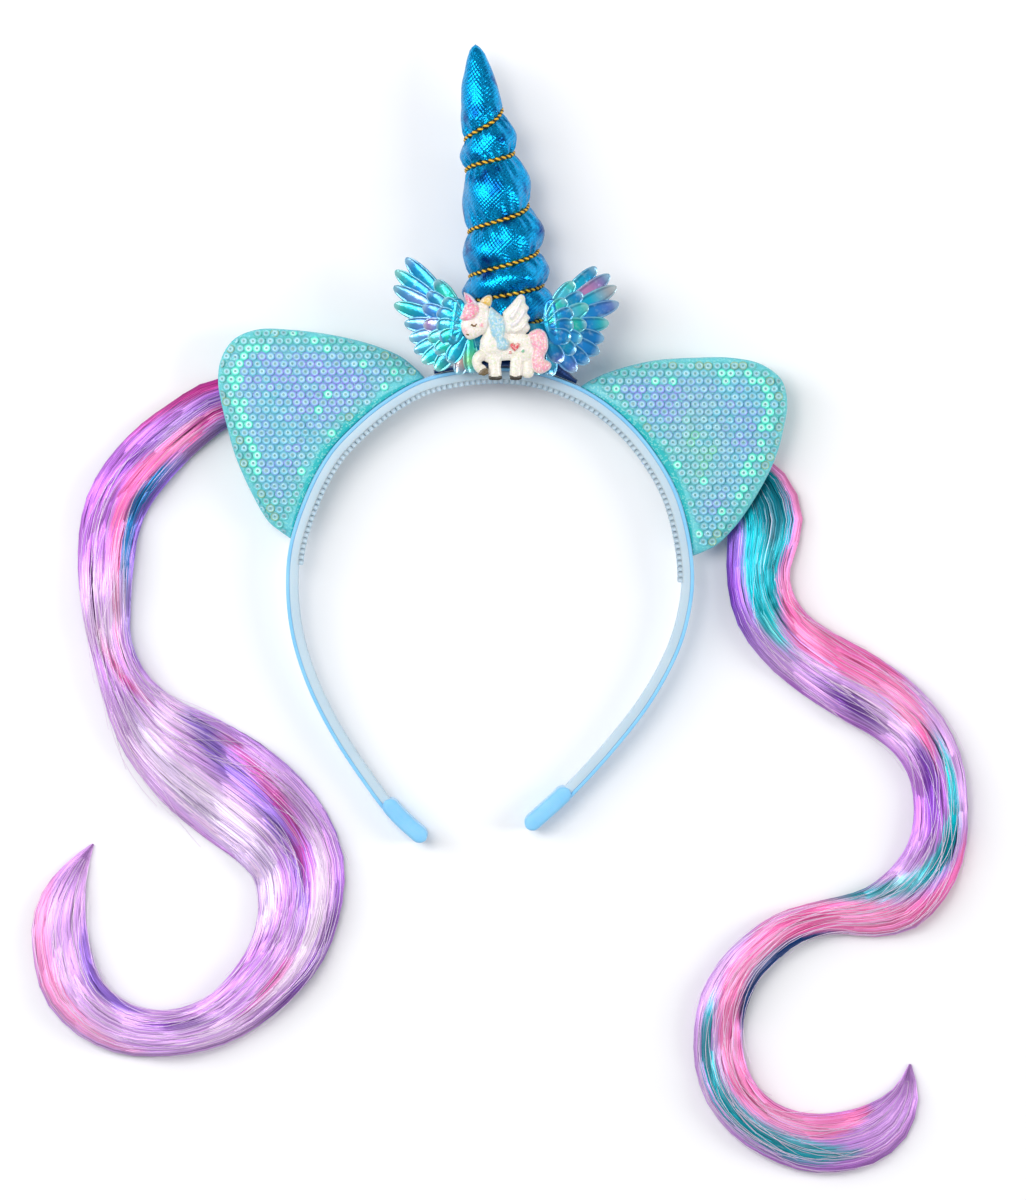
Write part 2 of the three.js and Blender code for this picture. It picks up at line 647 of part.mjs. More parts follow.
// The twisted cord wound in the groove
function hornCord() {
  const radius = CORD_DIAMETER / 2;
  const rings = [];
  const from = Math.round((CORD_FROM / 2) * ANGLE_STEPS);
  const to = Math.round((CORD_TO / 2) * ANGLE_STEPS);
  for (let step = from; step <= to; step++) {
    const turns = step / ANGLE_STEPS;
    const centre = hornPoint(turns, 0, CORD_SEAT + radius);
    const outward = new THREE.Vector3(Math.cos(spiralAngle(turns)), 0, Math.sin(spiralAngle(turns)));
    const upward = new THREE.Vector3(0, 1, 0);
    rings.push(
      Array.from({ length: CORD_SIDES }, (_, side) => {
        const turn = (side / CORD_SIDES) * 2 * Math.PI;
        const corner = centre.clone().addScaledVector(outward, radius * Math.cos(turn));
        return corner.addScaledVector(upward, radius * Math.sin(turn));
      }),
    );
  }
  return loft(rings);
}

// The fabric pad between the band and the horn: it follows the band below and is flat under the horn
function hornPad() {
  const lower = bandRun(PAD_FROM, PAD_TO, FIT_GAP);
  const upper = bandRun(PAD_TO, PAD_FROM, FIT_GAP + PAD_EDGE).map((point) => {
    const beside = Math.max(0, Math.abs(point.x - HORN_OFFSET) - HORN_DIAMETER / 2);
    return new THREE.Vector2(point.x, Math.max(point.y, PAD_RISE - beside));
  });
  const middle = (lower[0].x + lower.at(-1).x) / 2;
  const half = (lower.at(-1).x - lower[0].x) / 2;
  const depthAt = (x) => PAD_DEPTH * Math.sqrt(1 - 0.75 * ((x - middle) / half) ** 2);
  return slab([...lower, ...upper], depthAt);
}

// A flat form with a bevelled rim, from z = 0 up
function plate(outline, thick, bevel) {
  const settings = {
    depth: thick - 2 * bevel,
    bevelEnabled: true,
    bevelThickness: bevel,
    bevelSize: bevel,
    bevelOffset: -bevel,
    bevelSegments: 1,
  };
  return new THREE.ExtrudeGeometry(new THREE.Shape(outline), settings).translate(0, 0, bevel);
}

// One feather along +X: narrow at its quill, widest three quarters of the way out, and round at its tip
function feather(from, to, thick) {
  const form = [
    { along: 0, half: 0.25 },
    { along: 0.6, half: 1 },
    { along: 0.9, half: 0.8 },
  ];
  const side = (way) =>
    form.map(({ along, half }) => {
      return new THREE.Vector2(THREE.MathUtils.lerp(from, to, along), (way * half * FEATHER_WIDTH) / 2);
    });
  return plate([...side(-1), new THREE.Vector2(to, 0), ...side(1).reverse()], thick, 0.25);
}

function ellipse(centre, halfX, halfY, turn, count) {
  return Array.from({ length: count }, (_, i) => {
    const angle = (i / count) * 2 * Math.PI;
    const point = new THREE.Vector2(halfX * Math.cos(angle), halfY * Math.sin(angle));
    return point.rotateAround(new THREE.Vector2(), turn).add(centre);
  });
}

// One wing: two layers of feathers over each other, a smooth shoulder, and a tab that lies on the horn
function wing(side, rootAcross) {
  const pieces = FEATHERS.map((row) => {
    const reach = WING_REACH * (side < 0 ? row.left : row.right);
    const thick = WING_THICK + row.layer * FEATHER_STEP;
    const turn = THREE.MathUtils.degToRad(row.angle);
    return feather(0.1 * WING_REACH, reach, thick).rotateZ(turn);
  });
  const shoulderThick = WING_THICK + 2 * FEATHER_STEP;
  const shoulder = { centre: new THREE.Vector2(0.15 * WING_REACH, 0.08 * WING_REACH), turn: 0.15 };
  pieces.push(
    plate(
      ellipse(shoulder.centre, 0.14 * WING_REACH, 0.3 * WING_REACH, shoulder.turn, 12),
      shoulderThick,
      0.4,
    ),
  );
  const inner = FIT_GAP - rootAcross;
  const outer = 0.15 * WING_REACH;
  const low = -0.2 * WING_REACH;
  const high = 0.06 * WING_REACH;
  const tab = [
    new THREE.Vector2(inner, low),
    new THREE.Vector2(outer, low),
    new THREE.Vector2(outer, high),
    new THREE.Vector2(inner, high),
  ];
  pieces.push(plate(tab, WING_THICK, 0.2));
  const whole = joined(pieces);
  const position = whole.attributes.position;
  for (let i = 0; i < position.count; i++) {
    const out = Math.max(0, position.getX(i)) / WING_REACH;
    position.setZ(i, position.getZ(i) - WING_DROOP * out * out);
  }
  whole.scale(side, 1, 1);
  if (side < 0) {
    whole.setIndex(Array.from(whole.index.array).reverse());
  }
  whole.computeVertexNormals();
  return whole.translate(HORN_OFFSET + side * rootAcross, WING_UP, HORN_DIAMETER / 2 + FIT_GAP);
}

// The resin charm: a small standing winged pony of rounded forms on one flat back
function charm() {
  const bevel = 0.45;
  const forms = CHARM_FORMS.map((form) => {
    const centre = new THREE.Vector2(form.x * CHARM_WIDTH, form.y * CHARM_WIDTH);
    const turn = THREE.MathUtils.degToRad(form.turn);
    const outline = ellipse(centre, form.halfX * CHARM_WIDTH, form.halfY * CHARM_WIDTH, turn, 10);
    return plate(outline, form.height * CHARM_THICK, bevel);
  });
  const legs = CHARM_LEGS.map(({ left, right, foot }) => {
    const outline = [
      new THREE.Vector2(left, foot),
      new THREE.Vector2(right, foot),
      new THREE.Vector2(right, -0.1),
      new THREE.Vector2(left, -0.1),
    ];
    return plate(outline.map((point) => point.multiplyScalar(CHARM_WIDTH)), 0.95 * CHARM_THICK, bevel);
  });
  return joined([...forms, ...legs]).translate(CHARM_ACROSS, CHARM_UP, CHARM_BACK);
}

// Where a lock runs on the surface, its direction there and its size
function lockStations(rows, span, drop) {
  const centres = rows.map((row) => new THREE.Vector2(row.across * span, -row.down * drop));
  return rows.map((row, i) => {
    const before = centres[Math.max(i - 1, 0)];
    const after = centres[Math.min(i + 1, rows.length - 1)];
    return {
      centre: centres[i],
      along: after.clone().sub(before).normalize(),
      half: (row.width * HAIR_WIDTH) / 2,
      thick: row.thick * HAIR_THICK,
    };
  });
}

// One lock of hair: a ridged bundle that lies on the surface, fused to the sewn head that it hangs from
function hair(stations, rootLift) {
  const clasped = 1;
  const settled = 4;
  const rings = stations.map(({ centre, along, half, thick }, i) => {
    const lift = rootLift * THREE.MathUtils.clamp((settled - i) / (settled - clasped), 0, 1);
    const at = (side, height) =>
      new THREE.Vector3(
        centre.x - along.y * side * half,
        centre.y + along.x * side * half,
        lift + height * thick,
      );
    return [
      ...LOCK_TOP.map(({ side, height }) => at(side, height)),
      ...LOCK_UNDERSIDE.map((side) => at(side, 0)),
    ];
  });
  const root = stations[0];
  const head = new THREE.BoxGeometry(HEAD_LENGTH, 2 * root.half, root.thick);
  head.translate(-0.4 * HEAD_LENGTH, 0, rootLift + root.thick / 2);
  head.rotateZ(Math.atan2(root.along.y, root.along.x)).translate(root.centre.x, root.centre.y, 0);
  return joined([loft(rings), head]);
}

// The plain clasp round the root of a lock, close under the back of an ear
function clasp(root, rootLift) {
  const inner = { width: 2 * (root.half + FIT_GAP), height: root.thick + 2 * FIT_GAP };
  const middle = rootLift + root.thick / 2;
  const hollow = new THREE.BoxGeometry(2 * CLASP_LENGTH, inner.width, inner.height);
  const block = new THREE.BoxGeometry(
    CLASP_LENGTH,
    inner.width + 2 * CLASP_WALL,
    inner.height + 2 * CLASP_WALL,
  );
  const ring = geometryOf(solidOf(block).subtract(solidOf(hollow)));
  ring.translate(0.1 * HEAD_LENGTH + FIT_GAP + CLASP_LENGTH / 2, 0, middle);
  return ring.rotateZ(Math.atan2(root.along.y, root.along.x)).translate(root.centre.x, root.centre.y, 0);
}

function piece(name, geometry, colour, roughness, metalness) {
  const mesh = new THREE.Mesh(geometry, new THREE.MeshStandardMaterial({ color: colour, roughness, metalness }));
  mesh.name = name;
  return mesh;
}

// What is fixed to the band, in the band's own plane with its middle at z = 0
const headgear = new THREE.Group();
headgear.add(
  piece("band_core", bandCore(), "#cfe0ea", 0.35, 0),
  piece("band_cover", bandCover(), "#6fc8f5", 0.6, 0),
  piece("ear_left", ear(LEFT_EAR_FROM, LEFT_EAR_TO, LEFT_EAR_EDGE), "#7cc4e6", 0.35, 0.1),
  piece("ear_right", ear(RIGHT_EAR_FROM, RIGHT_EAR_TO, RIGHT_EAR_EDGE), "#7cc4e6", 0.35, 0.1),
  piece("horn", horn(), "#0a84d6", 0.3, 0.7),
  piece("horn_cord", hornCord(), "#d9a032", 0.4, 0.6),
  piece("horn_pad", hornPad(), "#0c2b5c", 0.6, 0.3),
  piece("wing_left", wing(-1, LEFT_WING_ACROSS), "#2fb8d0", 0.25, 0.5),
  piece("wing_right", wing(1, RIGHT_WING_ACROSS), "#1e8fd0", 0.25, 0.5),
  piece("charm", charm(), "#f4eee6", 0.4, 0),
);

function lowest(name) {
  headgear.updateMatrixWorld(true);
  return new THREE.Box3().setFromObject(headgear.getObjectByName(name), true).min.z;
}

// The band leans up from its tips until they and the back of the horn touch the surface together
const SETTLING_ROUNDS = 5;
for (let round = 0; round < SETTLING_ROUNDS; round++) {
  headgear.rotation.x += (lowest("band_cover") - lowest("horn")) / BAND_DROP;
}
const TILT = headgear.rotation.x;
headgear.position.z = -Math.min(lowest("band_cover"), lowest("horn"));

// Height of the bottom of a lock's root, so that its clasp lies close under the ear
function rootLift(root) {
  const middlePlane = headgear.position.z + (root.centre.y - CLASP_LENGTH) * Math.tan(TILT);
  const earBack = middlePlane - EAR_THICK / 2 / Math.cos(TILT);
  return earBack - 2 * FIT_GAP - CLASP_WALL - root.thick;
}

const leftStations = lockStations(LEFT_HAIR, LEFT_HAIR_SPAN, LEFT_HAIR_DROP);
const rightStations = lockStations(RIGHT_HAIR, RIGHT_HAIR_SPAN, RIGHT_HAIR_DROP);
const leftLift = rootLift(leftStations[0]);
const rightLift = rootLift(rightStations[0]);

const headband = new THREE.Group();
headband.add(
  headgear,
  piece("hair_left", hair(leftStations, leftLift), "#c48bdb", 0.35, 0),
  piece("hair_right", hair(rightStations, rightLift), "#b08be0", 0.35, 0),
  piece("hair_clasp_left", clasp(leftStations[0], leftLift), "#e8eef2", 0.4, 0),
  piece("hair_clasp_right", clasp(rightStations[0], rightLift), "#e8eef2", 0.4, 0),
);

// The origin is the middle of the footprint, on the surface that the headband lies on
headband.updateMatrixWorld(true);
const extent = new THREE.Box3().setFromObject(headband, true);
const middle = extent.getCenter(new THREE.Vector3());
headband.position.set(-middle.x, -middle.y, -extent.min.z);

export default headband;
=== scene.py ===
# %% [markdown]
# # A unicorn horn headband, dressed over its fixed frame
#
# The frame gives every piece its size and place. This lesson gives the pieces their looks: dyed
# hair, sequins, foil cloth, twisted cord, embossed film and glitter resin. All lengths are written
# in millimetres and turned into metres when a mesh is made.

# %% The fixed frame
import math

import bmesh
import bpy
import numpy as np
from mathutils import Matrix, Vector
from mathutils.bvhtree import BVHTree


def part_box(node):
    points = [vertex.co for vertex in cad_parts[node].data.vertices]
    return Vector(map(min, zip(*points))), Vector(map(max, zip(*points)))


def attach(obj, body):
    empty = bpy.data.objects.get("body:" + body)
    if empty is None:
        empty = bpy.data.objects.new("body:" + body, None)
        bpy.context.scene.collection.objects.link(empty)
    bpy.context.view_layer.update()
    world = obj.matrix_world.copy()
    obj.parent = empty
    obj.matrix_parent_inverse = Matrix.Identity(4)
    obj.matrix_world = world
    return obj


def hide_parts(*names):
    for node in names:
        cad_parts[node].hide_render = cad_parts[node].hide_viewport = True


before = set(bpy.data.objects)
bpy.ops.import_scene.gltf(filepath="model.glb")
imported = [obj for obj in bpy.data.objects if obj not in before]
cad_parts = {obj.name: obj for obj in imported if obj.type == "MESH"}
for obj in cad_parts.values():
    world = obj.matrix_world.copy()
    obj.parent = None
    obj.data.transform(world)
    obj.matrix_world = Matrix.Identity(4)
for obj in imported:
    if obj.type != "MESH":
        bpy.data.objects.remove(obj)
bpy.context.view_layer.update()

MM = 0.001
scene = bpy.context.scene
print("nodes of the frame:", sorted(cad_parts))

# %% [markdown]
# ## Where things are
#
# The headband lies on its back. What is fixed to the band was drawn flat, in the band's own plane,
# and that plane leans a little because the round horn lifts the crown. The hair lies flat on the
# surface. Two small functions turn both kinds of place into places in the frame.

# %% Places in the frame
CROWN = np.array([-3.1107, 75.2451, 0.0])
BAND_LIFT = 13.2238
BAND_TILT = 0.056475


def in_band_plane(points):
    """Places drawn in the band's plane, with its crown at the origin, as places in the frame."""
    points = np.asarray(points, float)
    x, y, z = points[..., 0], points[..., 1], points[..., 2]
    cos, sin = math.cos(BAND_TILT), math.sin(BAND_TILT)
    turned = np.stack([x, y * cos - z * sin, y * sin + z * cos + BAND_LIFT], -1)
    return turned + CROWN


def on_surface(points):
    """Places drawn on the surface that the hair lies on, as places in the frame."""
    return np.asarray(points, float) + CROWN


# %% [markdown]
# ## Smooth runs through a few places
#
# Every outline here is a short table of places that a smooth curve passes through. A centripetal
# Catmull-Rom curve is used because it never overshoots between two places that lie close together.

# %% Curves
def curve_through(places, steps_between=24):
    """Fine points of a smooth curve through the places, whose spacing comes from their x and y."""
    places = np.asarray(places, float)
    ends = [2 * places[0] - places[1], 2 * places[-1] - places[-2]]
    places = np.vstack([ends[:1], places, ends[1:]])
    gaps = np.maximum(np.linalg.norm(np.diff(places[:, :2], axis=0), axis=1), 1e-9) ** 0.5
    share = np.linspace(0, 1, steps_between, endpoint=False)[:, None]
    runs = []
    for i in range(1, len(places) - 2):
        before, start, end, after = places[i - 1:i + 3]
        a, b, c = gaps[i - 1:i + 2]
        leave = ((start - before) / a - (end - before) / (a + b) + (end - start) / b) * b
        arrive = ((end - start) / b - (after - start) / (b + c) + (after - end) / c) * b
        square, cube = share**2, share**3
        runs.append(
            start
            + leave * share
            + (3 * (end - start) - 2 * leave - arrive) * square
            + (2 * (start - end) + leave + arrive) * cube
        )
    return np.vstack([*runs, places[-2:-1]])


def between_rows(wanted, marks, rows):
    """The rows of a table, which stand at the marks, read off at the wanted places."""
    return np.stack([np.interp(wanted, marks, column) for column in np.asarray(rows).T], -1)


def reached_along(points):
    """How far along a line each of its points lies."""
    return np.concatenate([[0], np.cumsum(np.linalg.norm(np.diff(points, axis=0), axis=1))])


def along_curve(curve, shares):
    """Places at the given shares of the curve's length."""
    reached = reached_along(curve[:, :2])
    return between_rows(np.asarray(shares, float) * reached[-1], reached, curve)


def length_of(curve):
    """The length of a curve over the plane that it is drawn on."""
    return float(reached_along(curve[:, :2])[-1])


def unit(vectors):
    """The vectors at length 1."""
    size = np.linalg.norm(vectors, axis=-1, keepdims=True)
    return vectors / np.maximum(size, 1e-12)


def left_of(direction):
    """Flat directions turned a quarter to the left."""
    return np.stack([-direction[..., 1], direction[..., 0]], -1)


def full_turn(count):
    """Angles of so many even steps round a circle."""
    return np.linspace(0, math.tau, count, endpoint=False)


def hump(value, middle, half):
    """A soft hump, 1 at its middle."""
    return np.exp(-(((value - middle) / half) ** 2))


def smooth_step(low, high, value):
    """A share that rises softly from 0 to 1 between two values."""
    share = np.clip((value - low) / (high - low), 0, 1)
    return share * share * (3 - 2 * share)


# %% [markdown]
# ## Colours and meshes
#
# Colours are written as on a paint chart and turned into linear light. A mesh is filled from whole
# arrays, because a lock of hair has far too many faces to add one by one. A colour that changes from
# fibre to fibre is kept in the mesh as an attribute named "dye", which a material then reads.

# %% Helpers for colours and meshes
def paint(code):
    """A colour code such as #c48bdb as linear red, green and blue."""
    parts = np.array([int(code[i:i + 2], 16) / 255 for i in (1, 3, 5)])
    return np.where(parts <= 0.04045, parts / 12.92, ((parts + 0.055) / 1.055) ** 2.4)


def new_piece(name, points, faces, material, dye=None):
    """A piece of the headband, from points in millimetres and faces of equal corner count."""
    points = np.asarray(points, float).reshape(-1, 3) * MM
    points[:, 2] = np.maximum(points[:, 2], 0.0)
    faces = np.asarray(faces, np.int32)
    corners = faces.shape[1]
    mesh = bpy.data.meshes.new(name)
    mesh.vertices.add(len(points))
    mesh.vertices.foreach_set("co", points.astype(np.float32).ravel())
    mesh.loops.add(faces.size)
    mesh.loops.foreach_set("vertex_index", faces.ravel())
    mesh.polygons.add(len(faces))
    mesh.polygons.foreach_set("loop_start", np.arange(0, faces.size, corners, dtype=np.int32))
    mesh.update(calc_edges=True)
    mesh.validate()
    mesh.polygons.foreach_set("use_smooth", np.full(len(mesh.polygons), True))
    if dye is not None:
        colours = np.ones((len(points), 4), np.float32)
        colours[:, :3] = np.asarray(dye, float).reshape(-1, 3)
        attribute = mesh.color_attributes.new("dye", "FLOAT_COLOR", "POINT")
        attribute.data.foreach_set("color", colours.ravel())
    mesh.materials.append(material)
    piece = bpy.data.objects.new(name, mesh)
    scene.collection.objects.link(piece)
    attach(piece, "root")
    return piece


def grid_faces(rows, columns, wrap=False, start=0):
    """Quads of a grid whose points are numbered row by row; wrap joins its last column to its first."""
    across = columns if wrap else columns - 1
    row, column = np.meshgrid(np.arange(rows - 1), np.arange(across), indexing="ij")
    a = start + row * columns + column
    b = start + row * columns + (column + 1) % columns
    return np.stack([a, b, b + columns, a + columns], -1).reshape(-1, 4)


def print_piece(piece):
    """Say how many triangles a piece has."""
    triangles = sum(len(face.vertices) - 2 for face in piece.data.polygons)
    print(f"{piece.name}: {triangles} triangles")


# %% [markdown]
# ## Camera, light and the surface
#
# The headband is seen from straight above, through a long lens three metres away, so that nothing
# leans outward. A wide soft light overhead makes the satin highlights, and two at the sides round
# the forms. The room itself is less than half as bright, so that foil has something dark to mirror.

# %% The camera
VIEW_CENTRE = (4.0, 3.0)
VIEW_HEIGHT = 372.0
VIEW_LEVEL = 12.0
CAMERA_HEIGHT = 3000.0
FILM_HEIGHT = 36.0
CLIP_END = 10.0
PICTURE_HEIGHT = 1200

camera_data = bpy.data.cameras.new("camera")
camera_data.sensor_width = FILM_HEIGHT
camera_data.lens = FILM_HEIGHT * (CAMERA_HEIGHT - VIEW_LEVEL) / VIEW_HEIGHT
camera_data.clip_end = CLIP_END
camera = bpy.data.objects.new("camera", camera_data)
camera.location = (VIEW_CENTRE[0] * MM, VIEW_CENTRE[1] * MM, CAMERA_HEIGHT * MM)
scene.collection.objects.link(camera)
scene.camera = camera
print("one pixel of the picture shows", VIEW_HEIGHT / PICTURE_HEIGHT, "mm")


# %% The lights
# Name, place and size in metres, watts and tint
SOFT_LIGHTS = [
    ("overhead", (-0.4, 0.3, 1.5), (0.6, 0.6), 9.0, (1.0, 0.99, 0.97)),
    ("left_side", (-1.1, 0.35, 1.0), (0.7, 1.1), 9.5, (0.97, 0.99, 1.0)),
    ("right_side", (1.3, 0.0, 0.95), (0.5, 1.0), 8.5, (1.0, 0.99, 0.98)),
]
LIGHT_AIM = Vector((0, 0, 0))
ROOM_TINT = (0.93, 0.95, 1.0, 1.0)
ROOM_STRENGTH = 0.4


def soft_light(name, place, size, watts, tint):
    """A rectangle of light that faces the headband."""
    data = bpy.data.lights.new(name, "AREA")
    data.shape = "RECTANGLE"
    data.size, data.size_y = size
    data.energy = watts
    data.color = tint
    light = bpy.data.objects.new(name, data)
    light.location = place
    light.rotation_euler = (LIGHT_AIM - Vector(place)).to_track_quat("-Z", "Y").to_euler()
    scene.collection.objects.link(light)


for light_row in SOFT_LIGHTS:
    soft_light(*light_row)

world = bpy.data.worlds.new("pale_room")
world.use_nodes = True
room = world.node_tree.nodes["Background"].inputs
room["Color"].default_value = ROOM_TINT
room["Strength"].default_value = ROOM_STRENGTH
scene.world = world
scene.view_settings.view_transform = "Standard"
print("lights:", [row[0] for row in SOFT_LIGHTS])


# %% The surface
def feed(socket, value):
    """Link an input to another socket, or set its value."""
    if isinstance(value, bpy.types.NodeSocket):
        socket.id_data.links.new(value, socket)
    else:
        socket.default_value = value


def set_inputs(node, **inputs):
    """Feed the inputs of a node, each named with _ for a space."""
    for title, value in inputs.items():
        feed(node.inputs[title.replace("_", " ")], value)


def finished(material, **inputs):
    """The material with more inputs of its shader set or linked."""
    set_inputs(material.node_tree.nodes["Principled BSDF"], **inputs)
    return material


def plain_material(name, colour, roughness):
    """A material with one colour and gloss, and its node tree for finer looks."""
    material = bpy.data.materials.new(name)
    material.use_nodes = True
    finished(material, Base_Color=(*colour, 1.0), Roughness=roughness)
    return material, material.node_tree


FLOOR_REACH = 3000.0
# The pieces rest at height 0, and the floor a little lower, so that no two faces share one place
FLOOR_GAP = 0.2
floor_mesh = bpy.data.meshes.new("floor")
floor_corners = [
    (x * FLOOR_REACH * MM, y * FLOOR_REACH * MM, -FLOOR_GAP * MM)
    for x, y in ((-1, -1), (1, -1), (1, 1), (-1, 1))
]
floor_mesh.from_pydata(floor_corners, [], [(0, 1, 2, 3)])
floor_mesh.materials.append(plain_material("floor_white", (0.97, 0.97, 0.98), 0.9)[0])
floor = bpy.data.objects.new("floor", floor_mesh)
scene.collection.objects.link(floor)
print("floor reaches", FLOOR_REACH, "mm each way")

# %% [markdown]
# ## Effects that several materials share
#
# Each effect is a node group with named inputs, so that cloth, ribbon and foil use the same weave
# with their own scale. A group only works out values that change over the surface. The shader that
# uses them stays in the material.

# %% Node groups
def new_group(name, inputs, outputs):
    """A shader node group with float inputs (name, value) and outputs (name, kind)."""
    group = bpy.data.node_groups.new(name, "ShaderNodeTree")
    for title, value in inputs:
        socket = group.interface.new_socket(title, in_out="INPUT", socket_type="NodeSocketFloat")
        socket.default_value = value
    for title, kind in outputs:
        group.interface.new_socket(title, in_out="OUTPUT", socket_type=kind)
    into = group.nodes.new("NodeGroupInput")
    out = group.nodes.new("NodeGroupOutput")
    return group, into.outputs, out.inputs


def add_node(tree, kind, inputs=None, **settings):
    """A node with its settings made and its inputs set to values or linked to sockets."""
    node = tree.nodes.new(kind)
    for title, value in settings.items():
        setattr(node, title, value)
    for title, value in (inputs or {}).items():
        feed(node.inputs[title], value)
    return node


def calculate(tree, operation, *values):
    """The result socket of one step of arithmetic."""
    node = tree.nodes.new("ShaderNodeMath")
    node.operation = operation
    for socket, value in zip(node.inputs, values):
        feed(socket, value)
    return node.outputs[0]


def scaled(tree, value, factor):
    """A value times a factor; each may be a socket or a number."""
    return calculate(tree, "MULTIPLY", value, factor)


def place_group(tree, group, **inputs):
    """The outputs of a group placed in a material, with its named inputs set."""
    node = tree.nodes.new("ShaderNodeGroup")
    node.node_tree = group
    set_inputs(node, **inputs)
    return node.outputs


def weave_group():
    """Over and under threads as a height, from two crossed rows of waves, and how worn each thread is."""
    group, into, out = new_group(
        "weave",
        [("Threads per mm", 3.0), ("Slub", 0.25)],
        [("Height", "NodeSocketFloat"), ("Slub mask", "NodeSocketFloat")],
    )
    coordinates = add_node(group, "ShaderNodeTexCoord").outputs["Object"]
    split = add_node(group, "ShaderNodeSeparateXYZ", {"Vector": coordinates}).outputs
    per_metre = scaled(group, into["Threads per mm"], math.tau / MM / 2)
    lift = scaled(group, split["Z"], 0.7)
    warp_place = scaled(group, calculate(group, "ADD", split["X"], lift), per_metre)
    weft_place = scaled(group, calculate(group, "ADD", split["Y"], lift), per_metre)
    warp = calculate(group, "SINE", warp_place)
    weft = calculate(group, "SINE", weft_place)
    crossed = scaled(group, warp, weft)
    noise = add_node(
        group, "ShaderNodeTexNoise", {"Vector": coordinates, "Scale": 900.0, "Detail": 3.0}
    ).outputs["Fac"]
    slub = scaled(group, noise, into["Slub"])
    height = calculate(group, "ADD", scaled(group, crossed, 0.5), slub)
    group.links.new(height, out["Height"])
    group.links.new(noise, out["Slub mask"])
    return group


def glitter_group():
    """Small flat flakes: each has a random brightness and a random tilt of its own."""
    group, into, out = new_group(
        "glitter",
        [("Flakes per mm", 4.0), ("Share shining", 0.2)],
        [("Sparkle", "NodeSocketFloat"), ("Flake", "NodeSocketFloat"), ("Tint", "NodeSocketColor")],
    )
    coordinates = add_node(group, "ShaderNodeTexCoord").outputs["Object"]
    scale = scaled(group, into["Flakes per mm"], 1 / MM)
    cells = add_node(group, "ShaderNodeTexVoronoi", {"Vector": coordinates, "Scale": scale})
    split = add_node(group, "ShaderNodeSeparateColor", {"Color": cells.outputs["Color"]}).outputs
    limit = calculate(group, "SUBTRACT", 1.0, into["Share shining"])
    sparkle = calculate(group, "GREATER_THAN", split["Red"], limit)
    group.links.new(sparkle, out["Sparkle"])
    group.links.new(split["Green"], out["Flake"])
    group.links.new(cells.outputs["Color"], out["Tint"])
    return group


def mottle_group():
    """A soft uneven mask, as of dye that took a little better here than there."""
    group, into, out = new_group("mottle", [("Patch mm", 6.0)], [("Mask", "NodeSocketFloat")])
    coordinates = add_node(group, "ShaderNodeTexCoord").outputs["Object"]
    scale = calculate(group, "DIVIDE", 1 / MM, into["Patch mm"])
    noise = add_node(
        group, "ShaderNodeTexNoise", {"Vector": coordinates, "Scale": scale, "Detail": 4.0}
    )
    group.links.new(noise.outputs["Fac"], out["Mask"])
    return group


WEAVE = weave_group()
GLITTER = glitter_group()
MOTTLE = mottle_group()
print("groups:", WEAVE.name, GLITTER.name, MOTTLE.name)


def bump(tree, height, strength, distance_mm):
    """Normals for small relief whose height is a socket."""
    node = add_node(
        tree, "ShaderNodeBump", {"Height": height, "Strength": strength, "Distance": distance_mm * MM}
    )
    return node.outputs["Normal"]


# The mix node has sockets for each kind of value; these are the numbers of its colour ones
MIX_FACTOR, MIX_FIRST, MIX_SECOND, MIX_COLOUR = 0, 6, 7, 2


def mixed(tree, factor, first, second):
    """A colour between two; each may be a socket or a colour code."""
    node = tree.nodes.new("ShaderNodeMix")
    node.data_type = "RGBA"
    feed(node.inputs[MIX_FACTOR], factor)
    for number, colour in ((MIX_FIRST, first), (MIX_SECOND, second)):
        feed(node.inputs[number], (*paint(colour), 1.0) if isinstance(colour, str) else colour)
    return node.outputs[MIX_COLOUR]


def mottle(tree, patch_mm):
    """A soft uneven mask with patches of this size."""
    return place_group(tree, MOTTLE, Patch_mm=patch_mm)["Mask"]


def smooth_mask(tree, value, low, high):
    """A mask that rises from 0 to 1 between two values."""
    node = add_node(
        tree,
        "ShaderNodeMapRange",
        {"Value": value, "From Min": low, "From Max": high},
        interpolation_type="SMOOTHSTEP",
    )
    return node.outputs["Result"]


def dye_socket(tree):
    """The colour that was kept in the mesh."""
    return add_node(tree, "ShaderNodeAttribute", attribute_name="dye").outputs["Color"]


# %% [markdown]
# ## Hair
#
# A long lock of synthetic hair is thousands of fibres that run side by side in small clumps. Blender
# has its own hair system, but its strands aren't a mesh and would be lost with other programs. So
# each fibre here is a narrow ridge of faces along the lock. The ridges catch the light across their
# width and the waves along their length, and the two together give the satin bands of real hair.

# %% The course of each lock
LOCK_WIDTH = 34.0
LOCK_THICK = 10.0
CLASP_WALL = 1.0
CLASP_GAP = 0.3
LEFT_SPAN, LEFT_DROP = 134.0, 207.0
RIGHT_SPAN, RIGHT_DROP = 140.0, 241.0

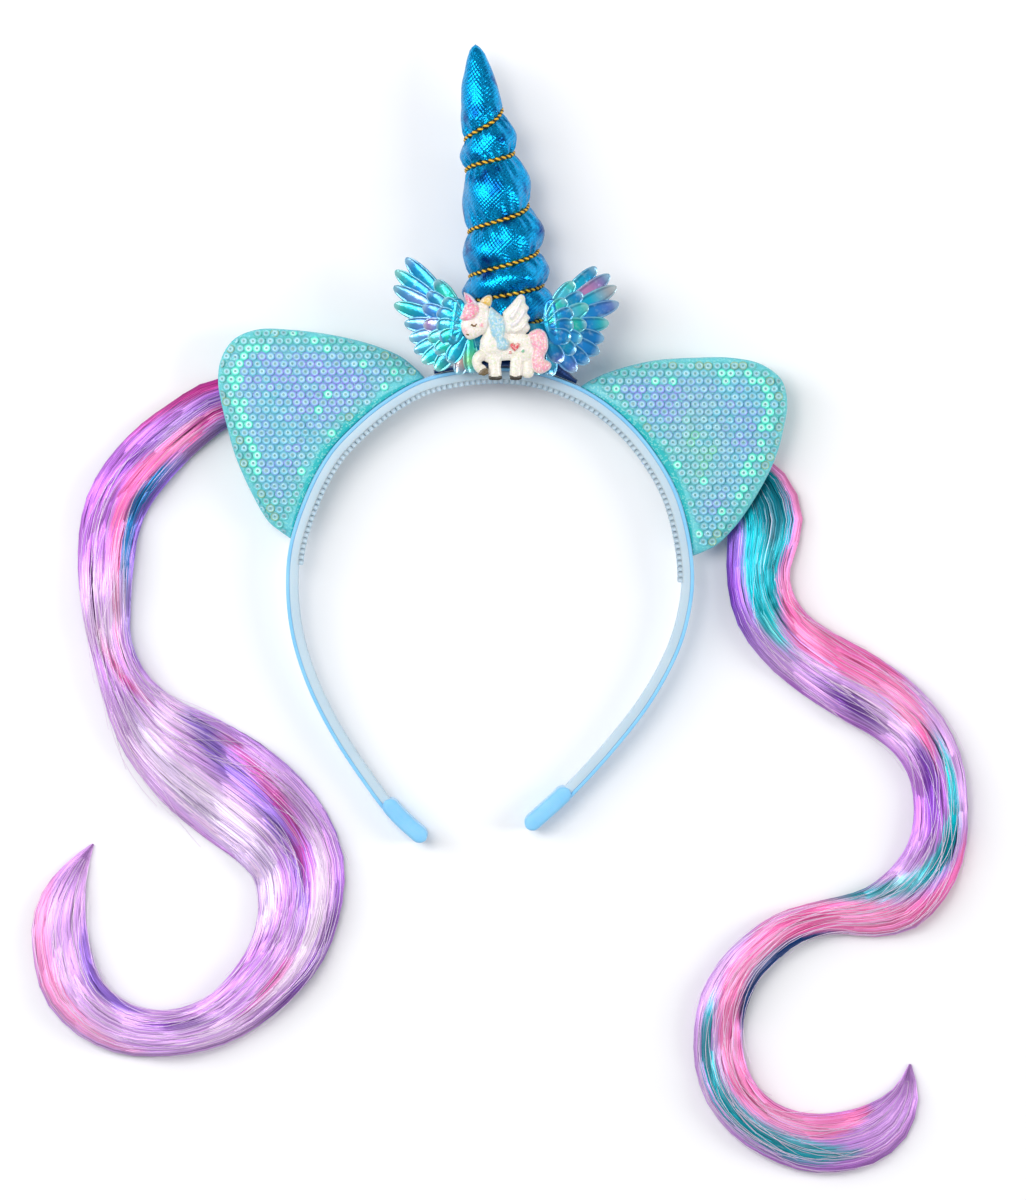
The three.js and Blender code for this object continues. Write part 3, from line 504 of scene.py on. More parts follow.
# Root to tip: across over the span, down over the drop, width over the widest, thickness over the thickest
LEFT_COURSE = [
    (-0.44, 0.076, 0.25, 0.42), (-0.502, 0.057, 0.25, 0.42), (-0.572, 0.049, 0.4, 0.6),
    (-0.632, 0.055, 0.464, 0.72), (-0.708, 0.087, 0.5, 0.85), (-0.788, 0.133, 0.555, 0.95),
    (-0.85, 0.184, 0.564, 0.95), (-0.88, 0.232, 0.55, 0.95), (-0.892, 0.296, 0.515, 0.95),
    (-0.89, 0.366, 0.444, 1), (-0.881, 0.415, 0.385, 1), (-0.847, 0.478, 0.46, 1),
    (-0.78, 0.543, 0.71, 0.9), (-0.692, 0.591, 0.92, 0.8), (-0.59, 0.639, 1, 0.75),
    (-0.5, 0.689, 0.94, 0.75), (-0.448, 0.744, 0.86, 0.8), (-0.442, 0.808, 0.764, 0.85),
    (-0.471, 0.873, 0.68, 0.9), (-0.54, 0.933, 0.56, 0.95), (-0.619, 0.975, 0.48, 1),
    (-0.694, 0.994, 0.43, 1), (-0.764, 1, 0.42, 1), (-0.833, 0.996, 0.46, 0.95),
    (-0.891, 0.981, 0.49, 0.95), (-0.94, 0.957, 0.52, 0.9), (-0.975, 0.925, 0.55, 0.85),
    (-0.993, 0.882, 0.53, 0.75), (-1, 0.835, 0.495, 0.65), (-0.988, 0.794, 0.4, 0.55),
    (-0.957, 0.749, 0.2, 0.38), (-0.922, 0.716, 0.02, 0.12),
]
RIGHT_COURSE = [
    (0.416, 0.103, 0.25, 0.42), (0.478, 0.113, 0.25, 0.42), (0.543, 0.134, 0.5, 0.6),
    (0.591, 0.163, 0.65, 0.68), (0.61, 0.197, 0.7, 0.78), (0.605, 0.224, 0.65, 0.88),
    (0.596, 0.2535, 0.59, 0.95), (0.597, 0.279, 0.573, 1), (0.613, 0.313, 0.585, 1),
    (0.66, 0.351, 0.59, 1), (0.73, 0.382, 0.63, 0.95), (0.814, 0.411, 0.66, 0.95),
    (0.894, 0.441, 0.615, 0.95), (0.951, 0.474, 0.555, 1), (0.988, 0.515, 0.515, 1),
    (1, 0.555, 0.49, 1), (1, 0.5965, 0.51, 1), (0.988, 0.628, 0.535, 0.95),
    (0.957, 0.661, 0.56, 0.9), (0.906, 0.69, 0.565, 0.85), (0.842, 0.703, 0.455, 0.85),
    (0.772, 0.7065, 0.33, 0.9), (0.72, 0.712, 0.32, 0.9), (0.655, 0.726, 0.345, 0.9),
    (0.6, 0.75, 0.37, 0.95), (0.5615, 0.772, 0.39, 0.95), (0.5205, 0.815, 0.436, 0.95),
    (0.506, 0.867, 0.45, 0.95), (0.5125, 0.903, 0.464, 0.95), (0.536, 0.937, 0.473, 0.9),
    (0.5825, 0.968, 0.473, 0.9), (0.636, 0.987, 0.49, 0.85), (0.7, 0.999, 0.527, 0.8),
    (0.765, 1, 0.54, 0.75), (0.833, 0.991, 0.527, 0.65), (0.884, 0.972, 0.455, 0.55),
    (0.9235, 0.936, 0.24, 0.4), (0.9335, 0.899, 0.02, 0.12),
]
LOCK_STEPS = 76


def lock_course(rows, span, drop, clasp):
    """Evenly spaced rows along a lock: centre x and y, direction x and y, half width, thickness, lift."""
    table = np.array(rows)
    root_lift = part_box(clasp)[0].z / MM + CLASP_WALL + CLASP_GAP
    lift = root_lift * np.clip((4 - np.arange(len(table))) / 3, 0, 1)
    stations = np.column_stack([table * (span, -drop, LOCK_WIDTH / 2, LOCK_THICK), lift])
    run = along_curve(curve_through(stations), np.linspace(0, 1, LOCK_STEPS))
    direction = unit(np.gradient(run[:, :2], axis=0))
    return {
        "centre": run[:, :2],
        "direction": direction,
        "half": np.maximum(run[:, 2], 0.2),
        "thick": np.maximum(run[:, 3], 0.8),
        "lift": np.maximum(run[:, 4], 0.0),
    }


left_course = lock_course(LEFT_COURSE, LEFT_SPAN, LEFT_DROP, "hair_clasp_left")
right_course = lock_course(RIGHT_COURSE, RIGHT_SPAN, RIGHT_DROP, "hair_clasp_right")
for title, course in (("left", left_course), ("right", right_course)):
    print(title, "lock is", round(length_of(course["centre"])), "mm long")

# %% [markdown]
# The fibres were dyed before they were gathered, so a colour is a tress that wanders across the
# lock. Each tress has a short table: how far along the lock, its middle from one side (-1) to the
# other (1), and its half width. Later tresses lie over earlier ones.

# %% The dyed tresses
HAIR_DYES = {
    "orchid": "#c078da", "lilac": "#d6a4ea", "pale": "#ecd2f0", "grey": "#dcc2f2", "mauve": "#a47ab8",
    "purple": "#8448b4", "violet": "#9670d2", "magenta": "#c42e96", "pink": "#fb6fb4", "rose": "#f793cb",
    "teal": "#00a8b6", "deep_teal": "#007484", "aqua": "#2fd2d8", "blue": "#2a74ae", "navy": "#184a8a",
}
LEFT_GROUND = [
    (0, "orchid"), (0.3, "orchid"), (0.38, "lilac"), (0.62, "orchid"), (0.8, "lilac"), (1, "lilac"),
]
LEFT_TRESSES = [
    ("magenta", [(0, -0.9, 0.25), (0.08, -0.85, 0.25), (0.12, -0.95, 0.12), (0.15, -1, 0)]),
    ("purple", [(0, -0.1, 0.3), (0.1, -0.15, 0.25), (0.15, -0.3, 0.15), (0.2, -0.45, 0)]),
    ("mauve", [(0, 0.9, 0.3), (0.1, 0.85, 0.28), (0.14, 0.9, 0.2), (0.18, 1, 0)]),
    ("magenta", [(0, 0.3, 0.25), (0.1, 0.3, 0.25), (0.14, 0.2, 0.2), (0.17, 0.2, 0.1), (0.19, 0.2, 0)]),
    ("pink", [(0.1, 0.55, 0.1), (0.15, 0.25, 0.28), (0.18, 0.2, 0.28), (0.218, 0.3, 0.24),
              (0.254, 0.38, 0.18), (0.3, 0.45, 0.12), (0.34, 0.5, 0)]),
    ("violet", [(0.13, 1, 0.1), (0.2, 0.9, 0.22), (0.25, 0.88, 0.28), (0.3, 0.95, 0.22),
                (0.35, 1, 0)]),
    ("blue", [(0.13, 0.8, 0), (0.155, 0.62, 0.18), (0.186, 0.62, 0.2), (0.217, 0.66, 0.17),
              (0.254, 0.68, 0.12), (0.29, 0.75, 0)]),
    ("magenta", [(0.295, -0.5, 0), (0.315, -0.3, 0.2), (0.335, -0.05, 0.2), (0.36, 0.25, 0.14),
                 (0.385, 0.45, 0)]),
    ("grey", [(0.36, -0.2, 0), (0.4, -0.3, 0.2), (0.445, -0.42, 0.3), (0.5, -0.6, 0.35),
              (0.57, -0.7, 0.35), (0.62, -0.8, 0.2), (0.66, -0.9, 0)]),
    ("violet", [(0.4, 0.85, 0), (0.42, 0.8, 0.18), (0.445, 0.55, 0.22), (0.46, 0.3, 0.18),
                (0.49, 0.3, 0.2), (0.52, 0.2, 0.25), (0.57, 0.08, 0.22), (0.61, 0.05, 0.1),
                (0.64, 0.05, 0)]),
    ("magenta", [(0.45, 0.75, 0), (0.47, 0.66, 0.06), (0.495, 0.55, 0.09), (0.528, 0.38, 0.1),
                 (0.56, 0.18, 0.08), (0.59, 0.1, 0)]),
    ("pale", [(0.54, 0.6, 0), (0.578, 0.52, 0.16), (0.61, 0.48, 0.17), (0.66, 0.45, 0.14),
              (0.71, 0.4, 0)]),
    ("purple", [(0.55, 1, 0), (0.6, 0.9, 0.12), (0.633, 0.86, 0.18), (0.67, 0.88, 0.16),
                (0.71, 1, 0)]),
    ("magenta", [(0.64, 0.15, 0), (0.66, 0.2, 0.12), (0.69, 0.25, 0.1), (0.72, 0.3, 0)]),
    ("purple", [(0.72, 0, 0), (0.75, -0.25, 0.15), (0.78, -0.35, 0.15), (0.8, -0.4, 0)]),
    ("violet", [(0.79, -0.9, 0), (0.83, -0.8, 0.2), (0.864, -0.75, 0.22), (0.9, -0.85, 0.15),
                (0.94, -1, 0)]),
    ("rose", [(0.79, 0.8, 0), (0.83, 0.6, 0.2), (0.86, 0.5, 0.28), (0.89, 0.65, 0.32),
              (0.925, 0.7, 0.3), (0.955, 0.9, 0.1), (0.97, 1, 0)]),
]
RIGHT_GROUND = [
    (0, "violet"), (0.15, "violet"), (0.24, "lilac"), (0.35, "lilac"), (0.42, "orchid"), (0.55, "lilac"),
    (0.8, "lilac"), (0.9, "orchid"), (1, "lilac"),
]
RIGHT_TRESSES = [
    ("purple", [(0.13, -0.9, 0), (0.16, -0.85, 0.2), (0.18, -0.85, 0.18), (0.205, -0.9, 0)]),
    ("teal", [(0, 0.05, 0.85), (0.079, 0.08, 0.7), (0.113, 0.08, 0.66), (0.132, 0.07, 0.6),
              (0.158, 0.05, 0.53), (0.185, 0.02, 0.42), (0.204, -0.15, 0.25), (0.225, -0.25, 0)]),
    ("deep_teal", [(0, 0.1, 0.6), (0.08, 0.1, 0.55), (0.1, 0.2, 0.5), (0.115, 0.25, 0.3),
                   (0.125, 0.3, 0)]),
    ("aqua", [(0.175, 0.1, 0), (0.195, -0.08, 0.15), (0.21, -0.15, 0.12), (0.228, -0.25, 0)]),
    ("rose", [(0, 1, 0.2), (0.077, 0.97, 0.2), (0.11, 0.95, 0.16), (0.136, 0.92, 0.17),
              (0.16, 0.85, 0.22), (0.183, 0.8, 0.3), (0.2, 0.7, 0.35), (0.22, 0.7, 0)]),
    ("pink", [(0.17, 0.85, 0), (0.2, 0.66, 0.3), (0.225, 0.57, 0.45), (0.291, 0.57, 0.44),
              (0.32, 0.5, 0.38), (0.338, 0.3, 0.38), (0.363, 0.15, 0.2), (0.39, 0.05, 0)]),
    ("purple", [(0.25, -0.4, 0), (0.275, -0.45, 0.22), (0.295, -0.5, 0.28), (0.315, -0.6, 0.2),
                (0.335, -0.7, 0)]),
    ("orchid", [(0.24, -1, 0.1), (0.3, -1, 0.16), (0.36, -1, 0.1), (0.4, -1, 0)]),
    ("purple", [(0.35, -0.2, 0), (0.38, -0.25, 0.25), (0.41, -0.3, 0.3), (0.44, -0.35, 0.2),
                (0.47, -0.4, 0)]),
    ("lilac", [(0.32, 0.95, 0), (0.36, 0.8, 0.25), (0.41, 0.82, 0.24), (0.45, 0.82, 0.18),
               (0.5, 0.95, 0)]),
    ("teal", [(0.365, 0.5, 0), (0.395, 0.42, 0.16), (0.43, 0.44, 0.24), (0.45, 0.4, 0.28),
              (0.465, 0.28, 0.3), (0.482, 0.05, 0.32), (0.51, -0.35, 0.32), (0.544, -0.72, 0.25),
              (0.573, -0.92, 0.14), (0.6, -1, 0)]),
    ("aqua", [(0.37, 0.5, 0), (0.39, 0.45, 0.08), (0.42, 0.35, 0.06), (0.45, 0.2, 0.05),
              (0.5, -0.4, 0.1), (0.53, -0.7, 0)]),
    ("pink", [(0.44, 1, 0), (0.465, 0.92, 0.14), (0.496, 0.78, 0.28), (0.528, 0.42, 0.55),
              (0.565, 0.1, 0.82), (0.6, -0.15, 0.85), (0.626, -0.2, 0.75), (0.646, -0.2, 0.62),
              (0.676, 0, 0.52), (0.712, 0.28, 0.45), (0.76, 0.5, 0.42), (0.81, 0.62, 0.4),
              (0.86, 0.6, 0.4), (0.9, 0.62, 0.38), (0.925, 0.75, 0.25), (0.945, 1, 0)]),
    ("rose", [(0.57, -0.9, 0), (0.6, -0.85, 0.2), (0.64, -0.75, 0.2), (0.66, -0.6, 0)]),
    ("navy", [(0.575, 1, 0), (0.61, 0.87, 0.28), (0.63, 0.8, 0.4), (0.656, 0.8, 0.4),
              (0.695, 0.92, 0.3), (0.74, 1, 0)]),
    ("teal", [(0.7, -0.5, 0), (0.72, -0.48, 0.15), (0.75, -0.46, 0.26), (0.78, -0.38, 0.32),
              (0.81, -0.3, 0.38), (0.864, -0.3, 0.4), (0.885, -0.34, 0.32), (0.905, -0.4, 0.15),
              (0.92, -0.45, 0)]),
]
DYE_EDGE = 0.1

# Painted highlight and painted shade stretches: middle along and across, half sizes, and how pale (above 0, a
# painted highlight) or deep (a painted shade)
LEFT_PAINTED_LIGHT = [
    (0.03, 0.1, 0.02, 0.7, 0.35), (0.07, -0.2, 0.04, 0.9, -0.6), (0.115, 0, 0.025, 0.7, 0.35),
    (0.17, -0.6, 0.05, 0.5, -0.4), (0.29, -0.2, 0.03, 1.1, 0.75), (0.345, -0.1, 0.03, 0.8, -0.7),
    (0.4, 0.2, 0.03, 0.9, 0.55), (0.455, 0.6, 0.04, 0.5, -0.3), (0.43, -0.6, 0.05, 0.5, 0.3),
    (0.5, -0.3, 0.05, 0.3, 0.6), (0.53, 0.75, 0.04, 0.3, 0.3), (0.57, 0.1, 0.035, 0.4, -0.35),
    (0.64, 0.2, 0.03, 1, 0.35), (0.68, -0.3, 0.03, 0.6, -0.35), (0.735, 0.3, 0.022, 0.8, 0.6),
    (0.78, -0.2, 0.03, 0.6, -0.35), (0.83, 0.2, 0.02, 0.7, 0.3),
]
RIGHT_PAINTED_LIGHT = [
    (0.08, 0.1, 0.03, 0.6, -0.4), (0.13, 0.1, 0.015, 0.4, 0.15), (0.16, 0.1, 0.02, 0.6, -0.4),
    (0.225, 0.3, 0.02, 0.8, 0.25), (0.27, -0.4, 0.03, 0.6, -0.2), (0.33, 0, 0.03, 0.9, 0.35),
    (0.4, -0.2, 0.03, 0.6, -0.4), (0.46, 0.5, 0.03, 0.6, -0.25), (0.5, -0.5, 0.025, 0.5, 0.2),
    (0.545, 0.2, 0.025, 0.9, 0.3), (0.6, -0.2, 0.03, 0.8, -0.25), (0.66, 0.1, 0.025, 0.6, 0.45),
    (0.7, 0.1, 0.02, 0.6, -0.2), (0.745, 0.3, 0.02, 0.7, 0.35), (0.775, -0.3, 0.03, 0.5, -0.4),
    (0.84, 0.5, 0.04, 0.6, 0.3), (0.93, 0, 0.04, 0.9, 0.2),
]
# The pale colour that a painted highlight stretch turns towards
STRETCH_HIGHLIGHT = "#fbeafc"
# A painted shade stretch is its colour to this power, times this scale
SHADE_POWER, SHADE_SCALE = 1.7, 0.8


def with_painted_light(colour, stretches, place, side):
    """The colour with its painted highlight stretches and painted shade stretches."""
    for middle, across, half, half_across, strength in stretches:
        far = ((place - middle) / half) ** 2 + ((side - across) / half_across) ** 2
        within = np.exp(-far)[..., None]
        # A pale stretch is a painted highlight, a deep one is painted shade
        if strength > 0:
            colour = colour + strength * within * (paint(STRETCH_HIGHLIGHT) - colour)
        else:
            colour = colour - strength * within * (SHADE_SCALE * colour**SHADE_POWER - colour)
    return colour


def dye_at(ground, tresses, place, side):
    """The colour of hair at shares along and across a lock."""
    marks = [row[0] for row in ground]
    shades = np.array([paint(HAIR_DYES[row[1]]) for row in ground])
    colour = between_rows(place, marks, shades)
    for name, rows in tresses:
        marks, middles, halves = np.array(rows).T
        middle = np.interp(place, marks, middles)
        half = np.interp(place, marks, halves, left=0, right=0)
        within = smooth_step(-DYE_EDGE, DYE_EDGE, half - np.abs(side - middle) - (half <= 0))
        colour += within[..., None] * (paint(HAIR_DYES[name]) - colour)
    return colour


# %% Fibres
FIBRE_WIDTH = 0.34
FIBRE_RIDGE = 0.15
CLUMPS = 26
FIBRES_PER_CLUMP = 20
# Over half the width of a lock: the outermost clump, and how far one may be off its place
OUTER_CLUMP = 0.93
CLUMP_SCATTER = 0.03
# How far the fibres of a clump spread, over the clump's share of half the width
FIBRE_SPREAD = 1.9
# How far clumps and fibres sway, over half the width, and how many times along the lock
CLUMP_SWAYS = ((0.09, 1.3), (0.05, 3.1))
FIBRE_SWAY, FIBRE_SWAYS = 0.03, 2.2

# Height at the sides of a lock and what its crown adds, over its thickness, and how full the crown is
SIDE_HEIGHT, CROWN_HEIGHT = 0.34, 0.66
CROWN_POWER = 2.4
UNDER_SHARE = 0.45
LOWEST_FIBRE = 0.4
CLUMP_RISE = 0.4
# Long waves in the height: their rise and lengths, their slant across the lock and their scatter
WAVE_RISE = 1.0
WAVE_LENGTHS = (31.0, 47.0)
WAVE_SLANT = 1.5
WAVE_SCATTER = 0.28
LEAN_OUTWARD = 0.75


def crown_height(side):
    """Height of the hair over the thickness of its lock, from one side (-1) to the other (1)."""
    return SIDE_HEIGHT + CROWN_HEIGHT * np.sqrt(np.clip(1 - np.abs(side) ** CROWN_POWER, 0, 1))


def fibre_lines(course, seed, level):
    """Middle lines of many fibres in clumps, with their shares along and across the lock."""
    rng = np.random.default_rng(seed)
    count = CLUMPS * FIBRES_PER_CLUMP
    clump = np.repeat(np.arange(CLUMPS), FIBRES_PER_CLUMP)
    place = np.linspace(0, 1, LOCK_STEPS)[None, :]
    reach = length_of(course["centre"])

    home = np.linspace(-OUTER_CLUMP, OUTER_CLUMP, CLUMPS) + rng.uniform(-CLUMP_SCATTER, CLUMP_SCATTER, CLUMPS)
    phase = rng.uniform(0, math.tau, (CLUMPS, len(CLUMP_SWAYS) + len(WAVE_LENGTHS)))
    sway = sum(
        far * np.sin(math.tau * times * place + phase[:, number:number + 1])
        for number, (far, times) in enumerate(CLUMP_SWAYS)
    )
    spot = rng.uniform(-1, 1, count)[:, None]
    own_phase = rng.uniform(0, math.tau, (count, 1))
    own = FIBRE_SWAY * np.sin(math.tau * FIBRE_SWAYS * place + own_phase)
    side = (home[:, None] + sway)[clump] + spot * FIBRE_SPREAD / CLUMPS + own
    under = np.abs(side) > 1
    side = np.where(under, np.sign(side) * (2 - np.abs(side)), side)

    bulge = CLUMP_RISE * np.sqrt(1 - spot**2)
    wave = np.zeros_like(side)
    for number, length in enumerate(WAVE_LENGTHS):
        own_phase = phase[clump, len(CLUMP_SWAYS) + number][:, None]
        turn = math.tau * reach * place / length + WAVE_SLANT * side + own_phase * WAVE_SCATTER
        wave = wave + np.sin(turn) / (number + 1)
    thick = course["thick"][None, :]
    fullness = thick / LOCK_THICK
    height = thick * crown_height(side) * level + (bulge + WAVE_RISE * wave) * fullness
    height = np.where(under, UNDER_SHARE * height, height)
    height = np.maximum(height, LOWEST_FIBRE) + course["lift"][None, :]

    across = left_of(course["direction"])
    offset = side * course["half"][None, :]
    flat = course["centre"][None] + offset[..., None] * across[None]
    lines = np.concatenate([flat, height[..., None]], -1)
    return lines, np.broadcast_to(place, side.shape), side, across, rng


def fibre_ridges(lines, side, across, widths):
    """Each line as a narrow ridge: two edges and a crest, leaning outward near the sides of the lock."""
    along = unit(np.gradient(lines, axis=1))
    lean = LEAN_OUTWARD * side * np.abs(side)
    outward = np.zeros_like(lines)
    outward[..., :2] = across
    up = outward * np.sin(lean)[..., None]
    up[..., 2] += np.cos(lean)
    breadth = unit(np.cross(along, up))
    up = np.cross(breadth, along)
    half = (widths / 2)[..., None]
    low = lines - up * FIBRE_RIDGE
    points = np.stack([low - breadth * half, lines, low + breadth * half], 2)
    count, steps = lines.shape[:2]
    first = np.arange(count)[:, None, None, None] * steps * 3
    step = np.arange(steps - 1)[None, :, None, None] * 3
    strip = np.arange(2)[None, None, :, None]
    corner = np.array([0, 3, 4, 1])[None, None, None, :]
    faces = (first + step + strip + corner).reshape(-1, 4)
    return points, faces


# %% A layer of dyed fibres
EARLIEST_END = 0.9
TAPER_SHARE = 0.05
THINNEST = 0.12
# How far a fibre strays into the next tress, over half the width
STRAY = 0.07
# Shades of clumps and fibres, as a middle and a spread, and how far a shade drifts along a fibre
CLUMP_SHADES = (1.0, 0.09)
FIBRE_SHADES = (1.09, 0.2)
SHADE_DRIFT, SHADE_DRIFTS = 0.1, 3
# How many fibres are drawn pale at random, as painted highlights on single strands, and how far
PALE_SHARE = 0.04
PALE_MIX = 0.4
PALE_STRAND = "#f6e2f8"


def hair_layer(name, course, ground, tresses, stretches, seed, level, material):
    """One layer of single fibres, each a little off the colour of its tress."""
    lines, place, side, across, rng = fibre_lines(course, seed, level)
    count = len(lines)
    end = rng.uniform(EARLIEST_END, 1.0, (count, 1)) ** 0.5
    narrow = np.clip(0.35 + course["half"][None, :] / 5, 0, 1)
    taper = np.clip((end - place) / TAPER_SHARE, THINNEST, 1) * narrow
    stray = rng.normal(0, STRAY, (count, 1))
    points, faces = fibre_ridges(lines, side, across[None], FIBRE_WIDTH * taper)
    colour = dye_at(ground, tresses, place, side + stray)
    colour = with_painted_light(colour, stretches, place + 0.3 * stray, side)
    clump_shade = np.repeat(rng.normal(*CLUMP_SHADES, CLUMPS), FIBRES_PER_CLUMP)[:, None]
    drift = 1 + SHADE_DRIFT * np.sin(math.tau * (SHADE_DRIFTS * place + rng.uniform(0, 1, (count, 1))))
    shade = rng.normal(*FIBRE_SHADES, (count, 1)) * clump_shade * drift
    colour = np.clip(colour * shade[..., None], 0.0, 1.0)
    # A few fibres get a painted highlight along their whole length
    pale_highlight_fibre = (rng.random(count) < PALE_SHARE)[:, None, None]
    colour = np.where(pale_highlight_fibre, (1 - PALE_MIX) * colour + PALE_MIX * paint(PALE_STRAND), colour)
    dye = np.repeat(colour[:, :, None, :], 3, 2)
    print_piece(new_piece(name, on_surface(points), faces, material, dye))


# %% [markdown]
# Under the fibres lies a closed bundle with the same outline, a little lower and painted darker, as painted
# shade in the gaps between the fibres. It is what shows between the fibres, and it gives the lock its
# underside.

# %% The bundle under the fibres
BUNDLE_AROUND = 28
BUNDLE_PAINTED_SHADE = 0.85
BUNDLE_WIDTH = 0.95
# Over the thickness of the lock: the widest level, and the rise and fall from it
BUNDLE_MIDDLE, BUNDLE_RISE, BUNDLE_FALL = 0.3, 0.48, 0.3
FLAT_BELOW = 1.6


def bundle(name, course, ground, tresses, material, node):
    """The closed core of a lock, flat where it lies on the surface."""
    turn = full_turn(BUNDLE_AROUND)[None, :]
    side = np.cos(turn) * np.ones((LOCK_STEPS, 1))
    rise = np.sin(turn)
    below = BUNDLE_MIDDLE + BUNDLE_FALL * np.maximum(rise * FLAT_BELOW, -1)
    round_form = np.where(rise > 0, BUNDLE_MIDDLE + BUNDLE_RISE * rise, below)
    height = course["thick"][:, None] * round_form + course["lift"][:, None]
    out = side * BUNDLE_WIDTH * course["half"][:, None]
    flat = course["centre"][:, None] + out[..., None] * left_of(course["direction"])[:, None]
    points = np.concatenate([flat, height[..., None]], -1).reshape(-1, 3)
    place = np.linspace(0, 1, LOCK_STEPS)[:, None] * np.ones_like(side)
    # The bundle's darker colour is painted shade between the fibres
    colour = dye_at(ground, tresses, place, side).reshape(-1, 3) * BUNDLE_PAINTED_SHADE
    faces = [grid_faces(LOCK_STEPS, BUNDLE_AROUND, wrap=True)]
    for ring in (0, LOCK_STEPS - 1):
        middle = len(points)
        start = ring * BUNDLE_AROUND
        points = np.vstack([points, points[start:start + BUNDLE_AROUND].mean(0)])
        colour = np.vstack([colour, colour[start]])
        edge = start + np.arange(BUNDLE_AROUND)
        other = start + (np.arange(BUNDLE_AROUND) + 1) % BUNDLE_AROUND
        caps = np.stack([edge, other, np.full_like(edge, middle), np.full_like(edge, middle)], -1)
        faces.append(caps if ring == 0 else caps[:, [1, 0, 2, 3]])
    piece = new_piece(name, on_surface(points), np.vstack(faces), material, colour)
    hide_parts(node)
    print_piece(piece)


# %% The finish of the hair, and both locks
def hair_material(name):
    """Satin synthetic fibre: its dye under a soft gloss."""
    material, tree = plain_material(name, (0.5, 0.3, 0.6), 0.36)
    colour = mixed(tree, scaled(tree, mottle(tree, 9.0), 0.06), dye_socket(tree), "#58387a")
    # Blue and green fibres mirror light in their own colour, pink ones shine white
    red = add_node(tree, "ShaderNodeSeparateColor", {"Color": dye_socket(tree)}).outputs["Red"]
    satin = scaled(tree, calculate(tree, "SUBTRACT", 1.0, red), 0.6)
    metal = calculate(tree, "ADD", 0.3, satin)
    return finished(material, Base_Color=colour, Metallic=metal, Specular_IOR_Level=0.3)


HAIR_FIBRE = hair_material("hair_fibre")
LOCKS = [
    ("hair_left", left_course, LEFT_GROUND, LEFT_TRESSES, LEFT_PAINTED_LIGHT, "hair_lilac", 11),
    ("hair_right", right_course, RIGHT_GROUND, RIGHT_TRESSES, RIGHT_PAINTED_LIGHT, "hair_mixed", 37),
]
for node, course, ground, tresses, stretches, slot, seed in LOCKS:
    bundle(f"{node}_bundle", course, ground, tresses, HAIR_FIBRE, node)
    hair_layer(f"{node}_lower_fibres", course, ground, tresses, stretches, seed, 0.8, HAIR_FIBRE)
    hair_layer(f"{node}_upper_fibres", course, ground, tresses, stretches, seed + 1, 0.9, HAIR_FIBRE)

# %% [markdown]
# Worn hair always has some single strands that cross the others. They are pale where the light
# catches them, and they keep the lock from looking combed by a machine.

# %% Strands that cross the locks
FLYAWAY_WIDTH = 0.14
FLYAWAY_STEPS = 34
FLYAWAY_RISE = 1.5
FLYAWAYS = 90
# Shares of the lock: where a strand starts, how far it runs, and where it ends at the latest
FLYAWAY_START = (0.14, 0.86)
FLYAWAY_REACH = (0.07, 0.22)
FLYAWAY_END = 0.985
# Over half the width: where it starts, how far it crosses, how far past the side, and its sway
FLYAWAY_SIDE, FLYAWAY_CROSSING, FLYAWAY_PAST, FLYAWAY_SWAY = 0.95, 0.7, 1.12, 0.06


def flyaways(name, course, seed, material):
    """Single strands that wander from one side of a lock towards the other."""
    rng = np.random.default_rng(seed)
    share = np.linspace(0, 1, FLYAWAY_STEPS)[None, :]
    start = rng.uniform(*FLYAWAY_START, (FLYAWAYS, 1))
    place = np.minimum(start + rng.uniform(*FLYAWAY_REACH, (FLYAWAYS, 1)) * share, FLYAWAY_END)
    first = rng.uniform(-FLYAWAY_SIDE, FLYAWAY_SIDE, (FLYAWAYS, 1))
    last = np.clip(first + rng.normal(0, FLYAWAY_CROSSING, (FLYAWAYS, 1)), -FLYAWAY_PAST, FLYAWAY_PAST)
    sway = FLYAWAY_SWAY * np.sin(math.tau * share + rng.uniform(0, 6, (FLYAWAYS, 1)))
    side = first + (last - first) * share + sway
    marks = np.linspace(0, 1, LOCK_STEPS)
    half, thick, lift = (np.interp(place, marks, course[title]) for title in ("half", "thick", "lift"))
    direction = unit(between_rows(place, marks, course["direction"]))
    centre = between_rows(place, marks, course["centre"])
    across = left_of(direction)
    flat = centre + (side * half)[..., None] * across
    height = thick * (0.9 * crown_height(side) + 0.1) + FLYAWAY_RISE * np.clip(thick / LOCK_THICK, 0, 1)
    lines = np.concatenate([flat, (height + lift)[..., None]], -1)
    taper = np.clip(np.minimum(share, 1 - share) * 8, 0.15, 1)
    points, faces = fibre_ridges(lines, side, across, FLYAWAY_WIDTH * taper * np.ones_like(side))
    colour = paint(PALE_STRAND) * rng.uniform(0.85, 1.0, (FLYAWAYS, 1))
    dye = np.broadcast_to(colour[:, None, None, :], points.shape)
    print_piece(new_piece(name, on_surface(points), faces, material, dye))


flyaways("hair_left_flyaways", left_course, 71, HAIR_FIBRE)
flyaways("hair_right_flyaways", right_course, 72, HAIR_FIBRE)

# %% [markdown]
# ## The band
#
# A comb band is one moulded strip of milky plastic with a row of teeth towards the head and a satin
# ribbon glued on its outer face. A strip like this is swept: a small rounded section is set up at
# many places along the outer edge, and the sections are joined. The teeth are part of its mesh.

# %% The edge of the band
BAND_WIDTH = 126.5
BAND_DROP = 147.5
PLASTIC_THICK = 2.7
CROWN_DEPTH = 10.0
TIP_DEPTH = 7.6
RIBBON_THICK = 0.8
SLEEVE_LENGTH = 18.0
SLEEVE_PROUD = 0.12
FIT_GAP = 0.3
BAND_THICK = PLASTIC_THICK + 2 * (RIBBON_THICK + FIT_GAP)

